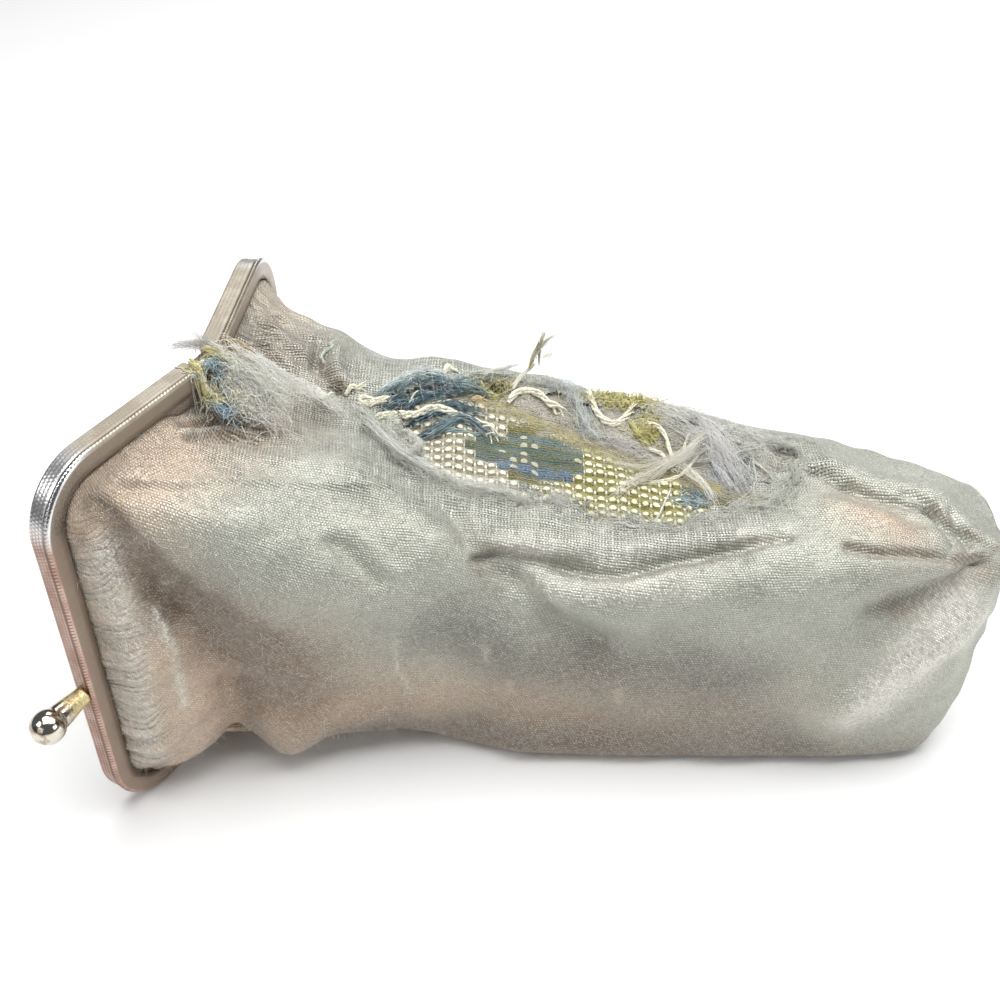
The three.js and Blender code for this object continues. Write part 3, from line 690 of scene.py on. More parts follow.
# Painted shade across the front and in hollows, or painted highlight on ridges and bulges where the last
# number is below 0; the four 0.6 mm wide ones on the front are pale scratch marks
shade_and_highlight_lines = [
    ((44, -27, 40), (58, -27, 30), (100, -27, 28), 11.0, 0.62),
    ((30, -26, 8), (120, -26, 8), 9.0, 0.52),
    ((142, -24, 42), (124, -27, 16), 7.0, -1.0),
    ((118, 4, 57.5), (144, 2, 52), 7.0, -0.15),
    ((20, -12, 66), (38, -16, 62), 7.0, 0.1),
    ((56, -20, 57), (76, -21, 56), (102, -16, 57.5), 4.0, -0.4),
    ((58, -26, 50.5), (74, -26.5, 50), (90, -26.5, 51), 3.6, -0.45),
    ((7, 18, 78), (17, 20, 74), 7.0, 0.5),
    ((-14, -34.5, 66), (-15, -34.5, 14), 5.0, -0.72),
    ((-6.2, -33.4, 54), (-6.1, -33.4, 42.5), (-6.2, -33.2, 26), 0.9, -0.55),
    ((-6, -33.3, 48), (-6.2, -33.2, 26), (-6, -33, 12), 2.6, -0.2),
    (*upper_ridge, 0.8, -0.4),
    (*lower_ridge, 0.9, -0.4),
    ((0, -14, 74), (12, -12, 69), 4.0, -0.3),
    ((34.2, -27, 37.8), (34.2, -26.6, 28.5), (36.4, -25.8, 20.8), 0.6, -0.6),
    ((51, -26, 36), (51.6, -26, 31), 0.6, -0.5),
    ((55.9, -26, 24), (56.2, -26, 20), 0.6, -0.5),
    ((77.8, -27, 24), (78, -27, 20), 0.6, -0.4),
]


def tear_distance(points):
    distance = np.minimum.reduce([plan_distance(points, outline) for outline in tears])
    plan = points[..., :2]
    ragged = distance + 0.55 * waves(plan, 5, 11) + 0.3 * waves(plan, 1.9, 12)
    distance = np.where(distance > 0.7, np.maximum(ragged, 0.1), ragged)
    return np.where(points[..., 2] > tear_bottom, distance, 99.0)


def crease_height(rows, creases):
    """Height of narrow creases, each a line laid onto the nearest points of the surface."""
    points = rows.reshape(-1, 3)
    height = np.zeros(len(points))
    for *corners, width, rise in creases:
        corners = np.array(corners, float)
        low = corners.min(0) - 3 * width - 3
        high = corners.max(0) + 3 * width + 3
        near = np.flatnonzero(((points > low) & (points < high)).all(1))
        if not len(near):
            continue
        close = points[near]
        places = np.linspace(0, len(corners) - 1, 8 * len(corners) - 7)
        corner_places = np.arange(len(corners))
        line = np.column_stack([np.interp(places, corner_places, column) for column in corners.T])
        line = np.array([close[np.argmin(((close - place)**2).sum(1))] for place in line])
        distance = np.full(len(near), np.inf)
        for a, b in zip(line, line[1:]):
            t = np.clip((close - a) @ (b - a) / max((b - a) @ (b - a), 1e-9), 0, 1)
            distance = np.minimum(distance, np.linalg.norm(close - a - t[:, None] * (b - a), axis=1))
        height[near] += rise * np.exp(-(distance / width)**2)
    return height.reshape(rows.shape[:-1])


satin_shares = np.linspace(0, 1, satin_columns, endpoint=False)
satin_rows, satin_out = pouch_form(satin_shares, satin_shares, satin_shoulder, satin_body)
satin_rows = layer(folded(satin_rows, satin_out, main_folds), satin_out, 0)
satin_along, satin_around = cloth_places(satin_rows, satin_columns, 1 + len(satin_shoulder))

# Gathers along the jaws, and small folds
from_jaw = satin_along - satin_along[1]
jaw_place = np.broadcast_to(satin_around[1], from_jaw.shape)
on_bar = smoothstep(np.abs(jaw_place), 34, 50) * smoothstep(np.abs(jaw_place), 134, 118)
gather_share = np.maximum(on_bar, np.where(jaw_place > 0, 0.8, 0.2))
gathered = gather_share * smoothstep(from_jaw, 12.5, 6.5) * smoothstep(from_jaw, 0, 1.5)
bend = jaw_place + 1.3 * np.sin(from_jaw / 2.6) + 0.9 * waves(np.stack([jaw_place, from_jaw], -1), 16, 20)
pleats = (waves(np.stack([bend, from_jaw / 12], -1), 3.4, 21)
          + 0.7 * waves(np.stack([bend, from_jaw / 9], -1), 6.5, 22))
tear_gap = tear_distance(satin_rows)
off_floor = smoothstep(satin_rows[..., 2], 0.2, 6)
satin_lift = (crease_height(satin_rows, fine_folds) * smoothstep(satin_out, 0.01, 0.22)[:, None]
              + 0.28 * gathered * pleats
              + (0.34 * waves(satin_rows, 19, 23) + 0.13 * waves(satin_rows, 7, 24)) * off_floor
              * smoothstep(from_jaw, 2, 12))

# The near edge of a tear curls up
reach = 0.05
tear_slope = np.stack([(tear_distance(satin_rows + step) - tear_distance(satin_rows - step)) / (2 * reach)
                       for step in ((reach, 0, 0), (0, reach, 0))], -1)
edge_curl = np.clip(1 - tear_gap / 2.6, 0, 1)**2 * (0.6 + 0.4 * waves(satin_rows[..., :2], 8, 25))
edge_curl *= smoothstep(tear_slope[..., 1], 0.5, -0.1)
satin_lift += np.where(tear_gap > -1.5, np.clip(edge_curl, 0, 1.3), 0)
satin_rows += grid_normals(satin_rows) * satin_lift[..., None]
satin_rows[..., 2] = np.maximum(satin_rows[..., 2], 0)
satin_normals = grid_normals(satin_rows)

# Points just inside a tear move onto its edge
steep = np.maximum((tear_slope**2).sum(-1), 0.3)
moves = -(tear_gap / steep)[..., None] * tear_slope
near_edge = (tear_gap < 0) & (tear_gap > -1.2)
satin_rows[..., :2] += np.where(near_edge[..., None], moves, 0)

# Where the satin is warm and brown, partly stains and partly a painted warm reflection low down, where
# painted shade darkens it, and how loose its weave is
place_x, place_y, place_z = np.moveaxis(satin_rows, -1, 0)
stain_and_warm_reflection = (np.where(jaw_place > 0, 0.5, 0.9) * smoothstep(from_jaw, 30, 4)
           + 1.1 * smoothstep(place_z, 42, 6) * smoothstep(place_x, 138, 60)
           + 0.5 * smoothstep(place_x, 40, 5) * smoothstep(place_z, 60, 35) * smoothstep(place_y, -15, -26))
stain_spots = [
    ((123, -11, 56.2), 6.0, 0.6),
    ((130, -14.5, 55), 6.0, 0.7),
    ((16.7, -29.8, 42.6), 0.8, 1.0),
]
for centre, size, share in stain_spots:
    stain_and_warm_reflection = stain_and_warm_reflection + share * np.exp(-(np.linalg.norm(satin_rows - centre, axis=-1) / size)**2)
# Painted shade where the satin enters the slot, and along the lines listed above
painted_shade = 0.4 * smoothstep(from_jaw, 3, 0.5) + crease_height(satin_rows, shade_lines)
worn = smoothstep(place_x, 58, 34) * smoothstep(place_x, -8, 2) * smoothstep(place_z, 56, 66)
satin_cloth = np.stack([satin_along, satin_around, np.clip(tear_gap * (1 - 0.5 * worn), 0, 20)], -1)
# Stains with painted warm reflection, painted shade, and how gathered it is, kept as the wear attribute
satin_tint_and_shade = np.stack([np.clip(stain_and_warm_reflection, 0, 1), np.clip(painted_shade, 0, 1), gathered], -1)
# Its third part is the painted shade and painted highlight of the lines listed above
satin_pleat_and_light = np.stack([bend, from_jaw, crease_height(satin_rows, shade_and_highlight_lines)], -1)

satin_material, start, finish = new_material(
    "satin", {"Sheen Weight": 0.25, "Sheen Roughness": 0.4, "Specular IOR Level": 0.6})
along, around, gap = start.attribute("cloth").parts()
# The wear attribute holds stains with painted warm reflection, painted shade, and how gathered the satin is
stain_and_reflection_share, shade_share, gather = start.attribute("wear").parts()
# The pleat attribute's third part is painted shade above 0 and painted highlight below 0
pleat_place, pleat_depth, painted_light = start.attribute("pleat").parts()
flat = start.join(along, around, 0.0)

# The weave: bright dashes, uneven threads, and holes where it is loose
wobble = flat.noise(0.25, 2.0) * 0.9
weft_place = (around + wobble) / 0.5
warp_place = (along - wobble) / 0.6
weave_row = weft_place.floor()
weave_place = warp_place + weave_row * 0.4
from_warp = (warp_place.fraction() - 0.5).size()
from_weft = (weft_place.fraction() - 0.5).size()
dash = (weave_place.fraction() - 0.5).size().step(0.5, 0.25) * from_weft.step(0.5, 0.15)
loose = (gap + (flat.noise(0.16, 2.0) - 0.5) * 16.0).step(11.0, 3.0)
holes = from_warp.step(0.18, 0.4) * from_weft.step(0.14, 0.36)
warp_chance = start.join(warp_place.floor() * 3.7, around * 0.12, 2.0).noise(1.0, 1.0)
weft_chance = start.join(along * 0.12, weave_row * 3.7, 6.0).noise(1.0, 1.0)
thread = (warp_chance + weft_chance - 1.0) * (loose * 0.8 + 0.16)
dash_chance = start.node("ShaderNodeTexWhiteNoise", {"noise_dimensions": "2D"},
                         {"Vector": start.join(weave_place.floor(), weave_row, 0.0)})
threads = start.join(along * 4.0, around * 0.5, 0.0).noise(1.0, 2.0)
cross_threads = start.join(along * 0.5, around * 4.0, 5.0).noise(1.0, 2.0)
slubs = threads + cross_threads

# Lines of the gathers, whose creases are darkened in the colour as painted shade
line_drift = start.join(pleat_place * 0.12, pleat_depth * 0.09, 0.0).noise(1.0, 2.0) * 3.0
line_break = start.join(pleat_place * 0.3, pleat_depth * 0.1, 7.0).noise(1.0, 1.0).step(0.36, 0.6)
line_place = (pleat_place * 0.72 + line_drift).fraction()
wrinkle = (line_place - 0.5).size().step(0.24, 0.03) * gather * line_break
crinkle = start.join(pleat_place * 0.8, pleat_depth * 0.07, 0.0).noise(1.0, 1.0)

# Silver cloth, warm and brown by stains and a painted warm reflection, darkened by painted shade, with
# painted highlights and its threads picked out
cloud = start.place().noise(0.07, 4.0, 0.6)
mottle = start.place().noise(0.5, 3.0, 0.6)
silver = start.colour(0.39, 0.395, 0.33).mix((0.46, 0.465, 0.395), cloud.step(0.35, 0.65))
# Warm brown, used for stains and for a painted warm reflection low down
brown = start.colour(0.53, 0.37, 0.255).mix((0.65, 0.475, 0.335), mottle.step(0.3, 0.7))
base = silver.mix(brown, stain_and_reflection_share * (cloud * 0.8 + 0.5))
# Painted shade, a dark brown
base = base.mix((0.165, 0.10, 0.055), shade_share * (mottle * 0.4 + 0.6))
# Painted shade in the creases of the gathers
base = base.mix((0.12, 0.09, 0.066), wrinkle * 0.5)
# Painted shade, then painted highlight, along the lines listed above
base = base.mix((0.09, 0.088, 0.07), painted_light.step(0.0, 1.0) * 0.9)
base = base.mix((0.82, 0.79, 0.71), painted_light.step(0.0, -1.0) * (dash_chance * 0.8 + 0.4))
base = base.mix(base.mix((0.95, 0.95, 0.9), 0.5), dash * (dash_chance * 0.6 + 0.02))
base = base.mix(base.mix((0.03, 0.03, 0.025), 0.6), (1.0 - dash) * 0.33)
light_threads = slubs.step(1.08, 1.3) * 0.4 + thread.step(0.02, 0.26) * 0.6
dark_threads = slubs.step(0.95, 0.72) * 0.5 + thread.step(-0.02, -0.26) * 0.6
base = base.mix(base.mix((0.95, 0.95, 0.9), 0.5), light_threads)
base = base.mix(base.mix((0.05, 0.05, 0.045), 0.5), dark_threads)
base = base.mix((0.06, 0.06, 0.05), holes * (loose * 0.6 + 0.1))
pale = gap.step(6.0, 0.5) * mottle.step(0.35, 0.6)
base = base.mix((0.50, 0.51, 0.44), pale * 0.4)
weave_relief = dash * (dash_chance * 0.5 + 0.25) + slubs * 0.9 + thread * 0.8 - holes * loose * 0.8
satin_relief = weave_relief - wrinkle * 2.2 + crinkle * gather * 2.4 + mottle * 0.6
finish(height=satin_relief, depth=0.16, Base_Color=base, Metallic=0.65 - stain_and_reflection_share * 0.15 - shade_share * 0.3,
       Roughness=mottle * 0.16 + shade_share * 0.15 + 0.33)

for name, first in (("satin_front", 0), ("satin_back", satin_columns)):
    columns = (np.arange(satin_columns + 1) + first) % (2 * satin_columns)
    faces = ring_faces(len(satin_rows), satin_columns + 1, closed=False)
    torn = tear_gap[:, columns].ravel() < 0
    faces = faces[~torn[faces].all(1)]
    used, faces = np.unique(faces, return_inverse=True)
    points, cloth, wear, pleat = (
        values[:, columns].reshape(-1, 3)[used]
        for values in (satin_rows, satin_cloth, satin_tint_and_shade, satin_pleat_and_light))
    piece = add_piece(name, points, faces.reshape(-1, 4), satin_material, "satin", "pouch_satin",
                      cloth=cloth, wear=wear, pleat=pleat)

# Frayed yarns
# Silk pulled from the brocade and the torn satin: thick cream cords of twisted yarn, loops and single
# threads lying over the tear, each still held by the cloth at one end.
leg_places = np.mgrid[-2.0:20.0:0.3, -2.2:2.3:0.4].reshape(2, -1).T
leg_tops = [leg_places @ np.array(jaw) + (0, 0, frame_width) for jaw in (front_jaw, back_jaw)]
top_points = np.concatenate([brocade_rows.reshape(-1, 3), satin_rows[tear_gap > 0], *leg_tops])
top_points = top_points[top_points[:, 2] > tear_bottom]
cell_size = 0.6
grid_start = top_points[:, :2].min(0)
grid_cells = ((top_points[:, :2] - grid_start) / cell_size).astype(int)
top_grid = np.full(grid_cells.max(0) + 1, -np.inf)
np.maximum.at(top_grid, tuple(grid_cells.T), top_points[:, 2])
for shift in [(1, 0), (-1, 0), (0, 1), (0, -1)] * 12:
    top_grid = np.where(np.isinf(top_grid), np.roll(top_grid, shift, (0, 1)), top_grid)

# The threads by the hinge are heaped up to the frame's top
mound_x, mound_y = np.indices(top_grid.shape) * cell_size + grid_start[:, None, None]
mound = frame_width - 0.4 - 0.72 * np.maximum(mound_x - 2, 0)
mound = mound - 1.5 * np.maximum(-mound_y - 2.8, 0) - 0.5 * np.maximum(mound_y - 3.5, 0)
top_grid = np.maximum(top_grid, np.where(mound_x > -1, mound, 0))


def ground_height(plan):
    """Height of the cloth's upper side under points in plan."""
    cells = np.clip(((plan - grid_start) / cell_size).astype(int), 0, np.array(top_grid.shape) - 1)
    heights = top_grid[cells[..., 0], cells[..., 1]]
    return np.where(np.isinf(heights), tear_bottom, heights)


def curve(points, count):
    """A smooth run through a few points, evenly spaced."""
    points = np.array(points, float)
    ends = np.vstack([points[:1], points, points[-1:]])
    t = np.linspace(0, 1, 12, endpoint=False)[:, None]
    spans = zip(ends, ends[1:], ends[2:], ends[3:])
    run = [hermite(t, b, (c - a) / 2, c, (d - b) / 2) for a, b, c, d in spans]
    run = np.vstack([*run, points[-1:]])
    length = np.append(0, np.cumsum(np.linalg.norm(np.diff(run, axis=0), axis=1)))
    places = np.linspace(0, length[-1], count)
    return np.column_stack([np.interp(places, length, column) for column in run.T])


def tubes(paths, radii, sides):
    """Points and faces of thin tubes along paths with as many points each, as thick as radii say."""
    tangent = np.gradient(paths, axis=1)
    tangent /= np.maximum(np.linalg.norm(tangent, axis=-1, keepdims=True), 1e-9)
    level = np.cross(tangent, (0.31, 0.17, 0.93))
    level /= np.maximum(np.linalg.norm(level, axis=-1, keepdims=True), 1e-9)
    upright = np.cross(level, tangent)
    turn = np.linspace(0, 2 * np.pi, sides, endpoint=False)[:, None]
    ring = level[:, :, None] * np.cos(turn) + upright[:, :, None] * np.sin(turn)
    points = paths[:, :, None] + ring * radii[..., None, None]
    count = paths.shape[1]
    faces = ring_faces(count, sides)
    starts = np.arange(len(paths))[:, None, None] * count * sides
    return points.reshape(-1, 3), (faces + starts).reshape(-1, 4)


def joined(parts):
    """Many lots of points and faces as one."""
    starts = np.cumsum([0] + [len(points) for points, _ in parts])
    faces = [lot + first for (_, lot), first in zip(parts, starts)]
    return np.vstack([points for points, _ in parts]), np.vstack(faces)


# Each yarn: colour, radius, height above the cloth, points in plan
yarns = [
    ("cream", 0.6, 1.0, [(28.6, 7.4), (31, 8.6), (34.2, 9.3), (37.7, 11.1)]),
    ("cream", 0.4, 0.9, [(28.4, 7.2), (26.8, 7.2), (27, 9.4), (28.8, 9.3), (29.4, 7.6)]),
    ("cream", 0.45, 0.4, [(23.7, 9.4), (25.9, 11), (27.6, 11.4)]),
    ("cream", 0.9, 0.5, [(18.4, 7.4), (19.7, 6.7), (20.9, 5)]),
    ("cream", 0.9, 0.6, [(43, 16.2), (43.6, 18.2), (44.6, 16.4)]),
    ("cream", 0.66, 1.5, [(30, 5.1), (37.3, 7.2), (40.7, 9.1), (43.6, 9.2), (47.4, 8.9), (51.1, 6.7),
     (53.5, 4.5)]),
    ("cream", 0.62, 0.7, [(55.9, 11.8), (58.3, 15.3), (62, 14.9), (64.4, 12.7), (66.8, 10.6)]),
    ("cream", 0.6, 0.7, [(71.7, 17.4), (74.1, 11.5), (76.6, 9.4), (79, 11), (81.4, 14.3)]),
    ("cream", 0.42, 0.8, [(81.4, 10.7), (83.8, 10.4), (86.3, 8.4), (87.5, 6.5), (88.7, 1.1)]),
    ("cream", 0.34, 0.5, [(83.8, 5.1), (86.3, 3.1), (88.7, -0.6)]),
    ("cream", 0.34, 0.5, [(92.3, 9.6), (91.1, 6.2), (89.9, 2.8), (88.8, 0)]),
    ("cream", 0.34, 0.4, [(97.2, 5.7), (93.5, 4.2), (89.9, -0.7), (85, -2.1), (80.2, -3.3)]),
    ("silver", 0.2, 0.4, [(87.5, -3.9), (86.3, -7.1), (83.8, -11.8), (80.2, -14.8), (77.8, -14.6),
     (74.1, -12.7)]),
    ("silver", 0.2, 0.4, [(104.5, 3.3), (104.5, -1.8), (100.8, -6.5), (98.4, -8)]),
    ("silver", 0.2, 0.4, [(104.5, 3.3), (108.1, -0.3), (109.3, -2.1), (111.7, -0.5), (111.7, 2.8)]),
    ("sage", 0.3, 0.5, [(20.6, 23), (19.8, 21), (20.5, 19.6), (18.9, 18.2), (18.5, 16.6), (19.6, 15.4),
     (19.1, 14), (20.2, 12.6), (20.4, 11.2), (22, 10.2), (24, 9.4)]),
    ("olive", 0.45, 0.4, [(72.9, 17.2), (77.8, 14.7), (83.8, 15.8), (86.3, 15.5)]),
    ("olive", 0.45, 0.4, [(80.2, 10.8), (82.6, 7), (83.8, 5.1)]),
    ("teal", 0.4, 0.3, [(37.7, 11.1), (43.7, 13), (48.6, 16.4), (53.5, 17.8)]),
    ("teal", 0.4, 0.3, [(42, 5.3), (47.4, 5.1), (51.1, 4.8)]),
    ("olive", 0.4, 0.4, [(49.9, 16.3), (53.5, 14), (57.1, 17.3)]),
    ("cream", 0.22, 0.9, [(-1, 2.4), (2, 1.6), (4.4, -0.4), (6, -2.6)]),
    ("cream", 0.2, 0.7, [(3, -1.5), (5.4, 0), (8, 1), (12, 0.5)]),
    ("tan", 0.5, 1.0, [(3, 5.4), (3.8, 7.4), (5.6, 9), (7.2, 8.4), (7.2, 5.6), (5.2, 3.8), (3.6, 3.8),
     (2.8, 5.2)]),
    ("tan", 0.4, 1.2, [(3.4, 5.8), (4.6, 7.4), (6.2, 7.6), (6.4, 5.8), (5, 4.6)]),
    ("olive", 0.5, 0.7, [(-0.8, 0.9), (1.3, 0.4), (2.7, 0), (4, -1.2)]),
    ("olive", 0.4, 0.9, [(-0.4, 1.6), (1.6, 1.2), (3.2, 0.6), (4.6, -0.6)]),
    ("olive", 0.5, 0.8, [(-2.2, -3.6), (-0.6, -5), (0.8, -6.2), (2, -6.6)]),
    ("olive", 0.5, 0.6, [(-1.4, -3.2), (0.6, -5), (2.2, -6), (3.4, -6.4)]),
    ("cream", 0.4, 0.8, [(-0.8, -4.4), (1, -5.4), (2.6, -6), (4, -5.8)]),
    ("blue", 0.4, 0.4, [(0.6, -6.2), (2.4, -6.8), (4.2, -6.8), (5.6, -6.4)]),
    ("blue", 0.35, 0.4, [(1.4, -7), (3, -7.4), (4.8, -7)]),
    ("ochre", 0.45, 0.5, [(5.4, -4.6), (6.4, -4.2), (7, -3.8)]),
    ("ochre", 0.4, 0.2, [(48.6, 12.4), (49.8, 13), (51, 12.6)]),
    ("sage", 0.32, 0.6, [(48, 17.6), (51, 19), (54, 19.6), (57, 19.4)]),
]
yarn_colours = {
    "cream": (0.88, 0.84, 0.67),
    "olive": (0.52, 0.47, 0.19),
    "silver": (0.70, 0.70, 0.66),
    "teal": (0.20, 0.30, 0.30),
    "blue": (0.20, 0.31, 0.40),
    "sage": (0.48, 0.54, 0.45),
    "tan": (0.46, 0.35, 0.20),
    "ochre": (0.66, 0.46, 0.26),
}
ply_count = 4
ply_sides = 5
ply_turns_each = 0.1
yarn_points = 44
strands, strand_tones = [], []
for colour, radius, lift, points in yarns:
    plan = curve(points, yarn_points)
    height = ground_height(plan)
    height = np.convolve(np.pad(height, 4, "edge"), np.ones(9) / 9, "valid")
    wander = np.random.default_rng(len(strands)).normal(size=2)
    bounce = 0.7 + 0.5 * np.sin(np.linspace(0, 7, yarn_points) + wander[0])
    path = np.column_stack([plan, height + lift * bounce])
    length = np.append(0, np.cumsum(np.linalg.norm(np.diff(path, axis=0), axis=1)))
    plies = []
    for ply in range(ply_count):
        turn = length * ply_turns_each * 2 * np.pi + ply * 2 * np.pi / ply_count
        opened = 1 + 1.6 * smoothstep(length / length[-1], 0.75, 1)
        spread = radius * 0.62 * opened * (1 + 0.4 * np.sin(length * 1.3 + ply * 1.3 + wander[1]))
        off_path = np.column_stack([np.sin(turn) * 0.7, np.sin(turn + 1) * 0.7, np.cos(turn)])
        plies.append(path + off_path * spread[:, None])
    taper = np.interp(np.linspace(0, 1, yarn_points), [0, 0.08, 0.8, 1], [0.6, 1, 0.9, 0.3])
    strands.append(tubes(np.array(plies), np.tile(radius * 0.58 * taper, (ply_count, 1)), ply_sides))
    strand_tones.append(np.tile(yarn_colours[colour], (len(strands[-1][0]), 1)))

yarn_material, start, finish = new_material("frayed_yarn", {"Sheen Weight": 0.5, "Sheen Roughness": 0.5})
tone = start.attribute("tone")
fibre = start.place().noise(2.4, 3.0, 0.6)
finish(height=fibre, depth=0.2, Roughness=0.9,
       Base_Color=tone.mix(tone.mix((0.25, 0.24, 0.16), 0.5), fibre.step(0.6, 0.34)))
add_piece("frayed_yarns", *joined(strands), yarn_material, "brocade", "pouch_brocade",
          tone=np.vstack(strand_tones))

# Tufts: ends of many threads standing out of the cloth together, each row a tuft
chance = np.random.default_rng(5)


def fibres(roots, headings, lengths, points, curl, droop):
    """Curling paths from roots along headings."""
    count = len(roots)
    t = np.linspace(0, 1, points)[None, :, None]
    side = np.cross(headings, chance.normal(size=(count, 3)))
    side /= np.linalg.norm(side, axis=-1, keepdims=True)
    lift = np.cross(side, headings)
    swing = chance.uniform(1.5, 5.5, (count, 1, 1)) * t + chance.uniform(0, 6.3, (count, 1, 1))
    reach = lengths[:, None, None] * t
    sway = curl * lengths[:, None, None] * t
    paths = roots[:, None] + headings[:, None] * reach + side[:, None] * np.sin(swing) * sway
    paths = paths + lift[:, None] * np.cos(swing * 0.8) * sway * 0.6
    paths[..., 2] = np.maximum(paths[..., 2] - droop * t[..., 0]**2 * lengths[:, None], 0.05)
    return paths


navy = (0.02, 0.04, 0.07)
teal = (0.08, 0.17, 0.19)
pale_teal = (0.26, 0.38, 0.38)
blue = (0.09, 0.21, 0.42)
dull_blue = (0.18, 0.29, 0.40)
pale_blue = (0.40, 0.52, 0.58)
olive = (0.20, 0.17, 0.02)
gold = (0.48, 0.43, 0.11)
straw = (0.70, 0.64, 0.28)
cream = (0.76, 0.72, 0.55)
grey = (0.56, 0.56, 0.50)
white = (0.86, 0.86, 0.82)
lilac = (0.60, 0.57, 0.60)
green = (0.40, 0.42, 0.35)
# Each tuft: middle, spread, how many, length, heading, fan, rise, radius, curl and two colours
tufts = [
    (48, 15, 5, 1.5, 60, 5, 10, 30, 0.4, 0.12, 0.3, teal, pale_teal),
    (53, 16.2, 3, 1.1, 170, 2.2, 90, 180, 0.8, 0.13, 0.9, olive, gold),
    (79, 16, 6.5, 1.3, 420, 2.4, 90, 180, 0.9, 0.13, 0.9, gold, straw),
    (83.4, 9.4, 2, 2.8, 220, 2.2, -60, 120, 0.7, 0.12, 0.9, gold, straw),
    (90, -7, 3, 1.6, 40, 4, 10, 30, 0.2, 0.12, 0.3, pale_blue, teal),
    (102.5, -8, 1.2, 0.8, 26, 2.4, 0, 180, 0.5, 0.12, 0.5, gold, olive),
    (102, 2, 3, 3, 60, 4, 0, 180, 0.4, 0.1, 0.4, teal, pale_teal),
    (98, 1, 3, 3, 40, 4, -60, 90, 0.3, 0.09, 0.3, blue, lilac),
    (1.4, -2.8, 1.7, 1.2, 90, 2.6, -30, 60, 0.5, 0.12, 0.5, teal, pale_blue),
    (1.4, 0.2, 2.2, 0.7, 70, 2, -20, 120, 0.7, 0.14, 0.5, gold, olive),
    (0.4, -5.4, 1.9, 1.0, 110, 2.2, 0, 180, 0.7, 0.14, 0.5, gold, cream),
    (3.2, -6.8, 1.8, 0.6, 46, 2.6, -10, 50, 0.3, 0.12, 0.5, dull_blue, pale_blue),
    (0, -6.6, 1.6, 0.8, 40, 2, -40, 90, 0.2, 0.1, 0.6, grey, green),
    (6, -4, 3, 1.6, 110, 2.2, 0, 180, 0.3, 0.1, 0.7, cream, white),
    (10.6, -2.6, 3.4, 1.6, 110, 2.6, 0, 180, 0.25, 0.09, 0.7, white, green),
    (6, 0.6, 2.6, 2.2, 120, 3, -10, 120, 0.3, 0.1, 0.6, green, white),
    (22, 10, 1.5, 1.5, 40, 3, -60, 120, 0.4, 0.07, 0.5, cream, grey),
]
tuft_steps = 7
tuft_sides = 4
tuft_parts, tuft_tones = [], []
for x, y, spread_x, spread_y, count, length, heading, fan, rise, radius, curl, tone, other in tufts:
    plan = np.array([x, y]) + chance.normal(size=(count, 2)) * (spread_x * 0.6, spread_y * 0.6)
    angle = np.radians(heading + fan * chance.uniform(-1, 1, count))
    roots = np.column_stack([plan, ground_height(plan) - 0.2])
    headings = np.column_stack([np.cos(angle), np.sin(angle), rise * chance.uniform(0.2, 1.4, count)])
    headings /= np.linalg.norm(headings, axis=-1, keepdims=True)
    paths = fibres(roots, headings, length * chance.uniform(0.45, 1.1, count), tuft_steps, curl, 0.25)
    below = ground_height(paths[..., :2]) + radius
    paths[..., 2] = np.maximum(paths[..., 2], below)
    radii = radius * chance.uniform(0.6, 1.2, (count, 1)) * np.linspace(1, 0.5, tuft_steps)
    tuft_parts.append(tubes(paths, radii, tuft_sides))
    shares = chance.uniform(0, 1, (count, 1)).repeat(tuft_steps * tuft_sides, axis=0)
    tuft_tones.append(np.array(tone) * (1 - shares) + np.array(other) * shares)
add_piece("frayed_tufts", *joined(tuft_parts), yarn_material, "brocade", "pouch_brocade",
          tone=np.vstack(tuft_tones))

